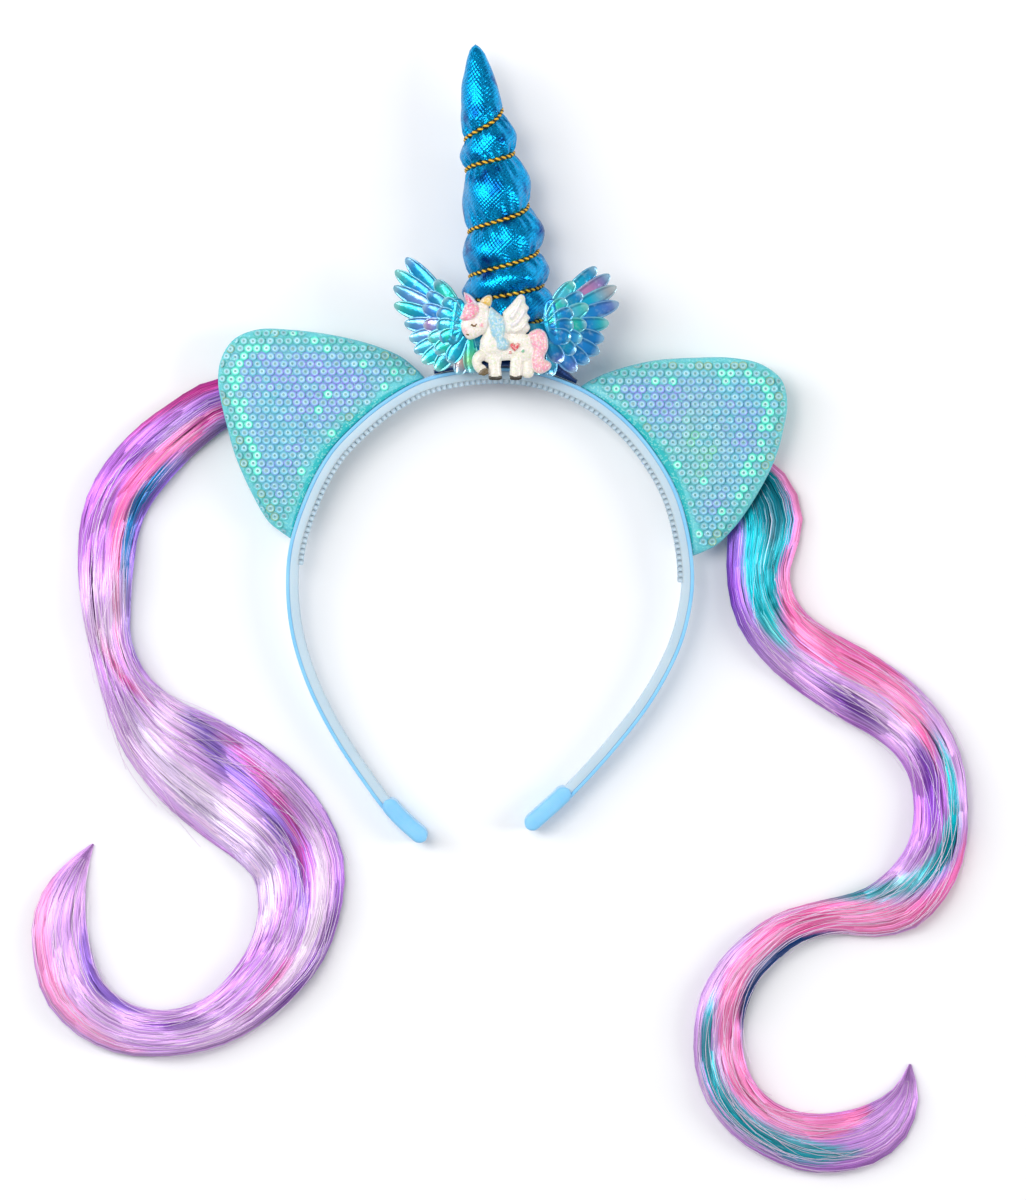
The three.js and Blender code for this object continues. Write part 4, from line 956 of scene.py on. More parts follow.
# From the left tip to the right one: across over half the width, down over the drop
BAND_EDGE = [
    (-0.343, 1.008), (-0.485, 0.952), (-0.635, 0.868), (-0.792, 0.763), (-0.909, 0.658), (-0.98, 0.553),
    (-1, 0.447), (-0.978, 0.363), (-0.882, 0.248), (-0.784, 0.176), (-0.686, 0.13), (-0.539, 0.076),
    (-0.343, 0.027), (-0.147, 0.006), (0.049, 0), (0.245, 0.01), (0.471, 0.048), (0.637, 0.098),
    (0.784, 0.166), (0.912, 0.258), (0.978, 0.355), (1, 0.447), (0.98, 0.52), (0.929, 0.595),
    (0.801, 0.7), (0.615, 0.805), (0.39, 0.91), (0.205, 0.982),
]
outer_edge = curve_through([(a * BAND_WIDTH / 2, -d * BAND_DROP, 0) for a, d in BAND_EDGE])
BAND_LENGTH = length_of(outer_edge)
print("outer edge of the band:", round(BAND_LENGTH), "mm")


def beside_band(shares, outward=0.0):
    """Flat places beside the outer edge, and the way away from the head there."""
    shares = np.asarray(shares, float)
    place = along_curve(outer_edge, shares)[..., :2]
    ahead = along_curve(outer_edge, np.clip(shares + 0.001, 0, 1))[..., :2]
    behind = along_curve(outer_edge, np.clip(shares - 0.001, 0, 1))[..., :2]
    direction = unit(ahead - behind)
    away = left_of(direction)
    return place + away * np.asarray(outward, float)[..., None], away


def band_depth(y):
    """Depth of the band along the view, which shrinks from the crown to the tips."""
    return CROWN_DEPTH + (TIP_DEPTH - CROWN_DEPTH) * np.clip(-y / BAND_DROP, 0, 1)


# %% Sweeping a strip along the band
CORNER_POINTS = 4
ROUND_END = 2.6
ROUND_END_STEPS = 8
LEAST_END = 0.0004


def rounded_section():
    """A square from -1 to 1 with round corners, as unit directions and corner centres."""
    turns, centres = [], []
    for quarter, centre in enumerate(((1, 1), (-1, 1), (-1, -1), (1, -1))):
        for step in range(CORNER_POINTS):
            turns.append((quarter + step / (CORNER_POINTS - 1)) * math.pi / 2)
            centres.append(centre)
    return np.array(turns), np.array(centres, float)


def swept_strip(shares, outer, inner, extra_depth, corner):
    """A strip beside the band between two offsets, with round ends, as points and faces."""
    turns, centres = rounded_section()
    half = (outer - inner) / 2
    ends = np.minimum(shares - shares[0], shares[-1] - shares) * BAND_LENGTH
    round_end = np.sqrt(np.clip(1 - (1 - np.minimum(ends / half, 1)) ** 2, LEAST_END, 1))
    middle, away = beside_band(shares, np.full_like(shares, (outer + inner) / 2))
    depth = (band_depth(middle[:, 1]) + extra_depth) / 2
    radius = np.minimum(corner, half * round_end)
    out = centres[None, :, 0] * (half * round_end - radius)[:, None] + radius[:, None] * np.cos(turns)
    up = centres[None, :, 1] * (depth - corner)[:, None] + corner * np.sin(turns)
    flat = middle[:, None] + out[..., None] * away[:, None]
    points = np.concatenate([flat, up[..., None]], -1)
    count = len(turns)
    faces = [grid_faces(len(shares), count, wrap=True)]
    points = points.reshape(-1, 3)
    for ring, order in ((0, 1), (len(shares) - 1, -1)):
        start = ring * count
        for i in range(count // 2 - 1):
            cap = [start + i, start + i + 1, start + count - 2 - i, start + count - 1 - i]
            faces.append(np.array([cap[::-order]]))
    return points, np.vstack(faces)


def end_places(first, last, count):
    """Shares along the band, closer together at both ends, so that round ends stay round."""
    near = 1 - np.cos(np.linspace(0, math.pi / 2, ROUND_END_STEPS))
    step = ROUND_END / BAND_LENGTH
    body = np.linspace(first + step, last - step, count)
    return np.concatenate([first + near[:-1] * step, body, last - near[:-1][::-1] * step])


# %% The plastic strip and its teeth
TEETH_FROM, TEETH_TO = 0.2545, 0.7585
TOOTH_PITCH = 1.9
TOOTH_HEIGHT = 1.3
# Outline of a tooth, along the band over the pitch and out over the height
TOOTH_FORM = np.array([(-0.45, 0.5), (-0.42, -0.8), (-0.34, -1.0), (0.34, -1.0), (0.42, -0.8), (0.45, 0.5)])
# Where its four layers lie over half the depth of the band, and how wide they are
TOOTH_LAYERS = np.array([-0.996, -0.97, 0.97, 0.996])
TOOTH_WIDTHS = np.array([0.98, 1, 1, 0.98])
TOOTH_POINTS = len(TOOTH_FORM) * len(TOOTH_LAYERS)
FIRST_TOOTH = 0.54
PLASTIC_OUTER = -(RIBBON_THICK + FIT_GAP)
PLASTIC_INNER = PLASTIC_OUTER - PLASTIC_THICK


def milky_plastic():
    """Moulded plastic that lets a little light in."""
    material, tree = plain_material("milky_plastic", paint("#c6dae6"), 0.5)
    return finished(
        material,
        Base_Color=mixed(tree, mottle(tree, 14.0), "#b4cddd", "#cadce6"),
        Normal=bump(tree, mottle(tree, 0.8), 0.25, 0.05),
        Subsurface_Weight=0.25,
        Subsurface_Radius=(0.002, 0.003, 0.004),
    )


def comb_teeth():
    """Every tooth: a ridge across the depth of the strip, narrow and round at its crest."""
    count = round((TEETH_TO - TEETH_FROM) * BAND_LENGTH / TOOTH_PITCH)
    shares = TEETH_TO - (np.arange(count) + FIRST_TOOTH) * (TEETH_TO - TEETH_FROM) / count
    place, away = beside_band(shares, np.full(count, PLASTIC_INNER))
    along = np.stack([away[:, 1], -away[:, 0]], -1)
    flat = (
        place[:, None]
        + along[:, None] * (TOOTH_FORM[:, 0] * TOOTH_PITCH)[None, :, None]
        + away[:, None] * (TOOTH_FORM[:, 1] * TOOTH_HEIGHT)[None, :, None]
    )
    depth = band_depth(place[:, 1])[:, None, None] / 2 * TOOTH_LAYERS[None, :, None]
    middle = flat.mean(1, keepdims=True)
    layers = middle[:, None] + (flat - middle)[:, None] * TOOTH_WIDTHS[None, :, None, None]
    height = np.broadcast_to(depth, layers.shape[:3])[..., None]
    points = np.concatenate([layers, height], -1)
    sides = grid_faces(len(TOOTH_LAYERS), len(TOOTH_FORM), wrap=True)
    caps = np.array([[0, 1, 4, 5], [1, 2, 3, 4], [23, 22, 19, 18], [22, 21, 20, 19]])
    one = np.vstack([sides, caps])
    faces = (np.arange(count)[:, None, None] * TOOTH_POINTS + one[None]).reshape(-1, 4)
    return points.reshape(-1, 3), faces


MILKY = milky_plastic()
PLASTIC_FROM, PLASTIC_TO = 0.006, 0.994
PLASTIC_CORNER = 0.35
STRIP_STEPS = 240
plastic_places = end_places(PLASTIC_FROM, PLASTIC_TO, STRIP_STEPS)
core_points, core_faces = swept_strip(plastic_places, PLASTIC_OUTER, PLASTIC_INNER, 0, PLASTIC_CORNER)
tooth_points, tooth_faces = comb_teeth()
band_plastic = new_piece(
    "band_plastic",
    in_band_plane(np.vstack([core_points, tooth_points])),
    np.vstack([core_faces, tooth_faces + len(core_points)]),
    MILKY,
)
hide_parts("band_core")
print_piece(band_plastic)


# %% The ribbon and its sleeves
def ribbon_satin():
    """Light blue satin: a fine weave under a soft sheen."""
    material, tree = plain_material("ribbon_satin", paint("#6fc6f4"), 0.42)
    weave = place_group(tree, WEAVE, Threads_per_mm=2.6, Slub=0.4)
    shade = mixed(tree, mottle(tree, 7.0), "#5cbdf2", "#8edafa")
    threads = mixed(tree, scaled(tree, weave["Slub mask"], 0.3), shade, "#b3c6f5")
    normal = bump(tree, weave["Height"], 0.5, 0.08)
    return finished(material, Base_Color=threads, Normal=normal, Sheen_Weight=0.3)


SATIN = ribbon_satin()
RIBBON_FROM, RIBBON_TO = 0.004, 0.996
RIBBON_CORNER = 0.3
SLEEVE_CORNER = 1.0
SLEEVE_STEPS = 30
sleeve_share = SLEEVE_LENGTH / BAND_LENGTH
# A sleeve is folded round the strip, and stands a little proud of the ribbon that runs into it
sleeve = (SLEEVE_PROUD, -BAND_THICK - SLEEVE_PROUD, 2 * (RIBBON_THICK + FIT_GAP), SLEEVE_CORNER)
ribbon_places = end_places(RIBBON_FROM, RIBBON_TO, STRIP_STEPS)
parts = [
    swept_strip(ribbon_places, 0, -RIBBON_THICK - FIT_GAP, 0, RIBBON_CORNER),
    swept_strip(end_places(0.0, sleeve_share, SLEEVE_STEPS), *sleeve),
    swept_strip(end_places(1 - sleeve_share, 1.0, SLEEVE_STEPS), *sleeve),
]
starts = np.cumsum([0] + [len(points) for points, faces in parts])
ribbon = new_piece(
    "band_ribbon",
    in_band_plane(np.vstack([points for points, faces in parts])),
    np.vstack([faces + start for (points, faces), start in zip(parts, starts)]),
    SATIN,
)
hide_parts("band_cover")
print_piece(ribbon)

# %% [markdown]
# ## The ears
#
# Each ear is two pieces of glitter cloth sewn together round a thin seam and lightly stuffed. The
# grid runs from the band to the free edge, and its two faces swell apart inside the seam. The
# sequins are little cups with a hole, dropped onto the cloth in staggered rows. Real ones are clear
# with a film that turns lavender, aqua or mint, so their colour changes over the ear.

# %% The stuffed panels
EAR_REACH = 53.0
EAR_THICK = 8.4
EAR_SEAM = 1.4
EAR_GAP = 0.1
EAR_ACROSS, EAR_OUT = 90, 44
# Small folds inside the seam: how deep, and how close together
PUCKER_DEPTH, PUCKERS = 0.1, 210

# Free edge: along the chord of the base, out over the reach
LEFT_EAR = {
    "name": "ear_left", "from": 0.445, "to": 0.274,
    "edge": [(-0.505, 0.05), (-0.5, 0.18), (-0.45, 0.36), (-0.36, 0.57), (-0.25, 0.77), (-0.14, 0.93),
             (-0.03, 1.0), (0.08, 0.985), (0.17, 0.915), (0.23, 0.83), (0.3, 0.71), (0.38, 0.56),
             (0.46, 0.35), (0.51, 0.16), (0.505, 0.05)],
}
RIGHT_EAR = {
    "name": "ear_right", "from": 0.571, "to": 0.7375,
    "edge": [(-0.5, 0.05), (-0.485, 0.17), (-0.41, 0.43), (-0.3, 0.66), (-0.21, 0.82), (-0.1, 0.95),
             (0.02, 1.0), (0.13, 0.955), (0.22, 0.86), (0.32, 0.725), (0.41, 0.545), (0.49, 0.32),
             (0.52, 0.15), (0.51, 0.05)],
}


def closed_sheet(top, bottom):
    """Points and faces of a body between two grids of the same size."""
    rows, columns = top.shape[:2]
    layer = rows * columns
    points = np.concatenate([top.reshape(-1, 3), bottom.reshape(-1, 3)])
    upper = grid_faces(rows, columns)
    lower = upper[:, ::-1] + layer
    right = np.arange(columns - 1)
    up = np.arange(rows - 1) * columns
    rim = np.concatenate(
        [right, up + columns - 1, (rows - 1) * columns + right[::-1] + 1, up[::-1] + columns]
    )
    after = np.roll(rim, -1)
    walls = np.stack([after, rim, rim + layer, after + layer], -1)
    return points, np.vstack([upper, lower, walls])


def ear_panel(ear):
    """The ear's two faces in the band's plane, its whole outline and its edge along the band."""
    base, _ = beside_band(np.linspace(ear["from"], ear["to"], EAR_ACROSS), np.full(EAR_ACROSS, EAR_GAP))
    start, end = base[0], base[-1]
    _, away = beside_band(np.array([(ear["from"] + ear["to"]) / 2]))
    middle = (start + end) / 2
    rows = np.array(ear["edge"])
    places = middle + rows[:, :1] * (end - start) + rows[:, 1:] * EAR_REACH * away[0]
    edge = curve_through(np.column_stack([places, np.zeros(len(places))]))
    free = along_curve(edge, np.linspace(0, 1, EAR_ACROSS))[:, :2]
    out = np.linspace(0, 1, EAR_OUT)[:, None]
    flat = base[None] * (1 - out[..., None]) + free[None] * out[..., None]
    share = np.linspace(0, 1, EAR_ACROSS)[None, :]
    side = np.sqrt(np.clip(1 - (2 * share - 1) ** 4, 0, 1))
    reach = np.clip(1 - out**3, 0, 1) ** 0.6
    full = side * reach
    beside_seam = smooth_step(0, 0.3, full) * (1 - smooth_step(0.3, 0.75, full))
    pucker = PUCKER_DEPTH * np.sin(share * PUCKERS) * beside_seam
    half = (EAR_SEAM + (EAR_THICK - EAR_SEAM) * full) / 2 + pucker
    top = np.concatenate([flat, half[..., None]], -1)
    bottom = np.concatenate([flat, -half[..., None]], -1)
    outline = np.vstack([base, free[::-1]])
    return top, bottom, outline, base


def sequin_cloth():
    """Aqua cloth with fine glitter; its deeper colour in the fold along the band is painted shade."""
    material, tree = plain_material("sequin_cloth", paint("#74c9e2"), 0.45)
    flakes = place_group(tree, GLITTER, Flakes_per_mm=2.4, Share_shining=0.22)
    weave = place_group(tree, WEAVE, Threads_per_mm=2.2, Slub=0.5)
    shade = mixed(tree, scaled(tree, flakes["Flake"], 0.3), dye_socket(tree), "#30b8b4")
    bright = mixed(tree, scaled(tree, flakes["Sparkle"], 0.4), shade, "#b4f4ec")
    height = calculate(tree, "ADD", weave["Height"], flakes["Flake"])
    rough = calculate(tree, "SUBTRACT", 0.5, scaled(tree, flakes["Sparkle"], 0.3))
    return finished(material, Base_Color=bright, Normal=bump(tree, height, 0.4, 0.08), Roughness=rough)


# %% The sequins
SEQUIN_PITCH = 2.72
SEQUIN_ROW = 2.36
SEQUIN_SIDES = 16
# From the hole outward: radius, rise and what colours it
SEQUIN_PROFILE = [
    (0.4, 0.1, "pale"), (0.56, 0.02, "pale"), (0.78, 0.0, "fill"), (1.0, 0.06, "fill"), (1.14, 0.15, "film"),
    (1.34, 0.3, "film"),
]
SEAM_MARGIN = 0.5
FOLD_MARGIN = 2.2
SEAM_CUT = 0.25
FOLD_CUT = 1.7
STITCH_RADIUS = 0.27
SEQUIN_SCATTER = 0.07
SEQUIN_LIFT = 0.12
STITCH_LIFT = 0.34


def distance_to(outline, places):
    """Signed distance from places to a closed outline, positive inside."""
    start, end = outline, np.roll(outline, -1, axis=0)
    span = end - start
    reach = places[:, None] - start[None]
    share = np.clip((reach * span).sum(-1) / np.maximum((span**2).sum(-1), 1e-9), 0, 1)
    gap = np.linalg.norm(reach - share[..., None] * span, axis=-1).min(1)
    above = (start[None, :, 1] > places[:, None, 1]) != (end[None, :, 1] > places[:, None, 1])
    rise = np.where(np.abs(span[:, 1]) < 1e-9, 1e-9, span[:, 1])
    crossing = start[:, 0] + (places[:, None, 1] - start[:, 1]) / rise * span[:, 0]
    inside = (above & (places[:, None, 0] < crossing)).sum(1) % 2 == 1
    return np.where(inside, gap, -gap)


def staggered_places(outline, base):
    """Sequin places inside an ear, in rows, clear of its seam and of the fold along the band."""
    low, high = outline.min(0), outline.max(0)
    rows = np.arange(low[1], high[1], SEQUIN_ROW)
    places = []
    for number, y in enumerate(rows):
        shift = SEQUIN_PITCH / 2 * (number % 2)
        places.extend((x, y) for x in np.arange(low[0] + shift, high[0], SEQUIN_PITCH))
    places = np.array(places)
    kept = (distance_to(outline, places) > SEAM_MARGIN) & (gap_to(base, places) > FOLD_MARGIN)
    return places[kept]


def gap_to(line, places):
    """Distance from places to the nearest point of a line."""
    return np.linalg.norm(places[:, None] - line[None], axis=-1).min(1)


# %% The colours of the sequins
FILM_AQUA, FILM_LAVENDER, FILM_MINT = "#66bcdc", "#9684ee", "#78d49c"
FILM_EDGE, FILM_KHAKI, FILM_FLASH = "#4cc8b4", "#8fb27c", "#3df0cc"
# One stretch of the right ear turns mint: its middle and half size beside the crown
MINT_MIDDLE, MINT_HALF = (64.0, -24.0), (8.0, 14.0)
EDGE_REACH = 5.0
KHAKI_REACH, KHAKI_SHARE = 3.2, 0.3
# A row a little inside the seam flashes most, and some sequins near the band flash too
FLASH_ROW, FLASH_HALF, FLASH_FROM_BAND = 5.6, 1.7, 9
FLASH_NEAR_BAND = (2.5, 6)
FLASH_BESIDE = 26


def film_colours(places, outline, base, rng):
    """Each sequin's film and whether it flashes: lavender within, mint and green along the edges."""
    inside = distance_to(outline, places)
    from_band = gap_to(base, places)
    noise = rng.normal(0, 1, len(places))
    drift = np.sin(places[:, 0] * 0.13 + 1.0) + np.sin(places[:, 1] * 0.19 + places[:, 0] * 0.07)
    lavender = np.clip(0.6 + 0.3 * drift + 0.45 * noise, 0, 1)[:, None]
    edge = np.clip(1.5 - inside / EDGE_REACH + 0.25 * noise, 0, 1)[:, None]
    colour = paint(FILM_AQUA) + lavender * (paint(FILM_LAVENDER) - paint(FILM_AQUA))
    patch = np.exp(-(((places - MINT_MIDDLE) / MINT_HALF) ** 2).sum(-1))
    mint = np.clip(0.8 * patch * (1 + 0.5 * noise), 0, 1)
    colour = colour + mint[:, None] * (paint(FILM_MINT) - colour)
    colour = colour + edge * (paint(FILM_EDGE) - colour)
    khaki = (inside < KHAKI_REACH) & (rng.random(len(places)) < KHAKI_SHARE)
    colour = np.where(khaki[:, None], paint(FILM_KHAKI), colour)
    outer = (np.abs(inside - FLASH_ROW) < FLASH_HALF) & (from_band > FLASH_FROM_BAND)
    near_band = (from_band > FLASH_NEAR_BAND[0]) & (from_band < FLASH_NEAR_BAND[1])
    beside = np.abs(places[:, 0] - base[:, 0].mean()) > FLASH_BESIDE
    chance = 0.015 + outer * (0.12 + 0.68 * beside) + 0.1 * near_band
    flash = rng.random(len(places)) < chance
    return np.where(flash[:, None], paint(FILM_FLASH), colour), flash


# %% Laying the sequins on the cloth
def sequins(points, faces, outline, base, seed):
    """Cupped rings on the front of an ear, each with a stitch in its hole, cut where a seam takes them."""
    rng = np.random.default_rng(seed)
    places = staggered_places(outline, base)
    places = places + rng.normal(0, SEQUIN_SCATTER, places.shape)
    cloth = BVHTree.FromPolygons([tuple(point) for point in points], [tuple(face) for face in faces])
    colours, flashes = film_colours(places, outline, base, rng)
    turn = full_turn(SEQUIN_SIDES)
    ring = np.stack([np.cos(turn), np.sin(turn)], -1)
    rings = len(SEQUIN_PROFILE)
    every_point, every_dye, every_face = [], [], []
    band = grid_faces(rings, SEQUIN_SIDES, wrap=True)
    for (x, y), colour, flash in zip(places, colours, flashes):
        shades = {
            "pale": paint("#d9f6f2") if flash else paint("#b4d8e2") * rng.uniform(0.65, 1.15),
            "fill": paint("#8dfbe4") if flash else 0.66 * paint("#84d8e8") + 0.34 * colour,
            "film": colour,
        }
        spot, normal, _, _ = cloth.ray_cast(Vector((x, y, 50)), Vector((0, 0, -1)))
        if spot is None:
            continue
        up = unit(np.array(normal) + np.array([*rng.normal(0, SEQUIN_SCATTER, 2), 0]))
        right = unit(np.cross([0.0, 1.0, 0.0], up))
        ahead = np.cross(up, right)
        start = sum(len(block) for block in every_point)
        for radius, rise, part in SEQUIN_PROFILE:
            flat = radius * (ring[:, :1] * right + ring[:, 1:] * ahead)
            every_point.append(np.array(spot) + flat + up * (rise + SEQUIN_LIFT))
            every_dye.append(np.tile(shades[part], (SEQUIN_SIDES, 1)))
        every_face.append(band[:, ::-1] + start)
        stitch = start + rings * SEQUIN_SIDES
        knot = STITCH_RADIUS * (ring[::4, :1] * right + ring[::4, 1:] * ahead)
        every_point.append(np.array(spot) + up * STITCH_LIFT + knot)
        every_dye.append(np.tile(paint("#7d9f92"), (4, 1)))
        every_face.append(np.array([[stitch, stitch + 1, stitch + 2, stitch + 3]]))
    every_point, every_face = np.vstack(every_point), np.vstack(every_face)
    flat = every_point[:, :2]
    whole = (distance_to(outline, flat) > SEAM_CUT) & (gap_to(base, flat) > FOLD_CUT)
    return every_point, every_face[whole[every_face].all(1)], np.vstack(every_dye)


def sequin_film():
    """A thin cup with a coloured film that mottles a little from place to place."""
    material, tree = plain_material("sequin_film", paint("#8cc8ea"), 0.3)
    shade = mixed(tree, scaled(tree, mottle(tree, 2.2), 0.25), dye_socket(tree), "#a8def4")
    return finished(material, Base_Color=shade, Coat_Weight=0.4)


# %% Both ears
CLOTH_TINT = "#70d2dc"
# The deeper teal where the cloth turns down to the band is painted shade
FOLD_SHADE_TINT = "#00b6ba"
CLOTH = sequin_cloth()
FILM = sequin_film()
for ear, seed in ((LEFT_EAR, 5), (RIGHT_EAR, 8)):
    top, bottom, outline, base = ear_panel(ear)
    points, faces = closed_sheet(top, bottom)
    # The fold colour is painted shade where the cloth curves down to the band
    fold = smooth_step(0.045, 0.075, np.linspace(0, 1, EAR_OUT))[:, None] * np.ones((1, EAR_ACROSS))
    cloth_dye = paint(FOLD_SHADE_TINT) + fold[..., None] * (paint(CLOTH_TINT) - paint(FOLD_SHADE_TINT))
    cloth_dye = np.concatenate([cloth_dye.reshape(-1, 3)] * 2)
    if ear is LEFT_EAR:
        faces = faces[:, ::-1]
    panel = new_piece(f"{ear['name']}_cloth", in_band_plane(points), faces, CLOTH, cloth_dye)
    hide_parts(ear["name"])
    print_piece(panel)
    points, faces, dye = sequins(points, faces, outline, base, seed)
    cups = new_piece(f"{ear['name']}_sequins", in_band_plane(points), faces, FILM, dye)
    print_piece(cups)

# %% [markdown]
# ## The horn
#
# The horn is a stuffed cone of blue foil cloth. A cord pulled tight round it sinks into a groove
# and makes the cloth swell between the turns. The skin is drawn along that spiral: each point
# knows how many turns up it lies and how far it is from one groove to the next. Small folds run
# into the groove, where the cloth is gathered.

# %% The form of the horn
HORN_LENGTH = 97.0
HORN_DIAMETER = 28.6
HORN_LEAN = 10.4
HORN_OFFSET = 5.9
HORN_FOOT = 2.8
GROOVE_DEPTH = 3.8
# The groove fades out between these heights, over the length, and is deeper on the right than on the left
GROOVE_FADE = (0.77, 0.83)
GROOVE_MEAN, GROOVE_SWING = 0.85, 0.15
ROLL_FULLNESS = 0.9

# From foot to tip: up over the length, radius over the base radius, lean over the whole lean
HORN_FORM = [
    (0, 1.0, 0), (0.21, 0.97, 0.03), (0.28, 0.93, 0.06), (0.34, 0.9, 0.12), (0.44, 0.835, 0.21),
    (0.5, 0.785, 0.32), (0.57, 0.74, 0.39), (0.66, 0.63, 0.55), (0.74, 0.57, 0.66), (0.82, 0.44, 0.83),
    (0.87, 0.385, 0.88), (0.915, 0.305, 0.91), (0.955, 0.215, 0.95), (0.985, 0.12, 0.985), (1.0, 0.0, 1.0),
]
# Height of the groove at each half turn, over the length
GROOVE_HEIGHTS = [
    -0.12, -0.04, 0.06, 0.13, 0.173, 0.233, 0.259, 0.342, 0.401, 0.489, 0.598, 0.655, 0.694, 0.79, 0.84,
    0.89, 0.93, 0.955, 0.974, 0.986, 0.993, 0.998,
]
groove_curve = curve_through([(half, height, 0) for half, height in enumerate(GROOVE_HEIGHTS)])
form_curve = curve_through(HORN_FORM)
SPIRAL_TURNS = (len(GROOVE_HEIGHTS) - 1) / 2


def groove_height(turns):
    """Height of the groove over the length, after this many turns from the foot."""
    return np.interp(2 * turns, groove_curve[:, 0], groove_curve[:, 1])


def horn_place(turns, between, outside=0.0, folds=0.0):
    """Places on the horn, from turns up the groove, share of the way to the next turn, and a stand-off."""
    turns, between = np.broadcast_arrays(turns, between)
    low, high = groove_height(turns), groove_height(turns + 1)
    height = low + (high - low) * between
    puff = np.sin(math.pi * np.clip(between, 0, 1)) ** ROLL_FULLNESS
    angle = math.pi - turns * math.tau
    groove = GROOVE_DEPTH * (1 - smooth_step(*GROOVE_FADE, height)) * (1 - 0.5 * height)
    groove = groove * (GROOVE_MEAN + GROOVE_SWING * np.cos(angle))
    radius = HORN_DIAMETER / 2 * np.interp(height, form_curve[:, 0], form_curve[:, 1])
    radius = radius - groove * (1 - puff) + outside + folds
    centre = HORN_OFFSET - HORN_LEAN * np.interp(height, form_curve[:, 0], form_curve[:, 2])
    return np.stack(
        [centre + radius * np.cos(angle), HORN_FOOT + height * HORN_LENGTH, radius * np.sin(angle)], -1
    )


# %% The foil skin
ANGLE_STEPS = 120
ROLL_STEPS = 16
# Folds where the cloth is gathered: depth, how many a turn, and how close to the groove they lie
FOLD_DEPTH = 0.42
FOLDS_A_TURN = 17
FOLD_PLACE, FOLD_HALF = 0.13, 0.12
FOLD_FADE = (0.72, 0.86)
# Dents in the rolls between the grooves
DENT_DEPTH = 0.7
DENT_FADE = (0.7, 0.85)


def horn_skin():
    """The skin as a mesh that is closed at the tip and cut flat at the foot."""
    steps = int((SPIRAL_TURNS - 1) * ANGLE_STEPS)
    turns = (np.arange(steps + 1) / ANGLE_STEPS)[:, None]
    between = (1 - np.cos(np.linspace(0, math.pi, ROLL_STEPS)))[None, :-1] / 2
    gather = hump(between, FOLD_PLACE, FOLD_HALF) + hump(between, 1 - FOLD_PLACE, FOLD_HALF)
    angle = turns * math.tau
    wobble = np.sin(angle * 5.3 + 1) * 1.2
    height = groove_height(turns + between)
    fade = 1 - smooth_step(*FOLD_FADE, height)
    folds = FOLD_DEPTH * gather * np.sin(angle * FOLDS_A_TURN + wobble + between * 5) * fade
    dents = DENT_DEPTH * np.sin(angle * 4.3 + between * 4) * np.sin(angle * 1.7 + 2)
    dents = dents * np.sin(math.pi * between) * (1 - 0.85 * smooth_step(*DENT_FADE, height))
    points = horn_place(turns, between, 0.0, folds + dents)
    rows, columns = points.shape[:2]
    last = horn_place((steps + 1 + np.arange(ANGLE_STEPS)) / ANGLE_STEPS, 0.0)
    points = np.vstack([points.reshape(-1, 3), last])
    top = rows * columns

    def upper(step):
        """The first point of a row, or of the last turn past the end of the grid."""
        return np.where(step < rows, step * columns, top + step - rows)

    faces = grid_faces(rows, columns)
    step = np.arange(rows - 1)
    edge = step * columns + columns - 1
    seam = np.stack([edge, upper(step + ANGLE_STEPS), upper(step + 1 + ANGLE_STEPS), edge + columns], -1)
    return points, np.vstack([faces, seam]), upper, rows, columns


def horn_mesh(name, material):
    """The skin as a piece, its foot cut off level and both ends filled."""
    points, faces, upper, rows, columns = horn_skin()
    tip = in_band_plane([[HORN_OFFSET - HORN_LEAN, HORN_FOOT + HORN_LENGTH, 0]])
    piece = new_piece(name, in_band_plane(points), faces, material)
    form = bmesh.new()
    form.from_mesh(piece.data)
    form.verts.ensure_lookup_table()
    loop = [form.verts[int(i)] for i in upper(rows - 1 + np.arange(ANGLE_STEPS + 1))]
    loop += [form.verts[(rows - 1) * columns + i] for i in range(columns - 1, 0, -1)]
    apex = form.verts.new(Vector(tip[0]) * MM)
    for one, other in zip(loop, loop[1:] + loop[:1]):
        if one != other:
            form.faces.new((one, other, apex))
    foot = in_band_plane([[0, HORN_FOOT, 0]])[0]
    upward = in_band_plane([[0, HORN_FOOT + 1, 0]])[0] - foot
    everything = form.verts[:] + form.edges[:] + form.faces[:]
    bmesh.ops.bisect_plane(
        form, geom=everything, plane_co=Vector(foot) * MM, plane_no=Vector(upward), clear_inner=True
    )
    open_edges = [edge for edge in form.edges if edge.is_boundary]
    bmesh.ops.holes_fill(form, edges=open_edges, sides=0)
    bmesh.ops.recalc_face_normals(form, faces=form.faces)
    for face in form.faces:
        face.smooth = True
    form.to_mesh(piece.data)
    form.free()
    return piece


def foil_cloth():
    """Blue metal foil on a woven ground: the weave breaks up every reflection. Its navy patches are a painted
    dark reflection, and it is painted darker between the threads as painted shade.
    """
    material, tree = plain_material("foil_cloth", paint("#0a84d6"), 0.26)
    weave = place_group(tree, WEAVE, Threads_per_mm=1.5, Slub=0.3)
    flakes = place_group(tree, GLITTER, Flakes_per_mm=2.4, Share_shining=0.16)
    # Cyan and navy patches: the navy is a painted dark reflection
    shade = mixed(tree, smooth_mask(tree, mottle(tree, 7.5), 0.5, 0.7), "#0ab6f6", "#033e8c")
    deep = scaled(tree, smooth_mask(tree, flakes["Flake"], 0.3, 1.0), 0.5)
    flecked = mixed(tree, deep, shade, "#0458a4")
    # Darker between the threads: painted shade in the weave's hollows
    between = scaled(tree, calculate(tree, "SUBTRACT", 1.0, weave["Height"]), 0.22)
    relief = calculate(tree, "ADD", weave["Height"], scaled(tree, flakes["Flake"], 0.5))
    return finished(
        material,
        Base_Color=mixed(tree, between, flecked, "#022a5e"),
        Metallic=0.95,
        Roughness=calculate(tree, "ADD", 0.17, scaled(tree, weave["Slub mask"], 0.14)),
        Normal=bump(tree, relief, 0.52, 0.18),
    )


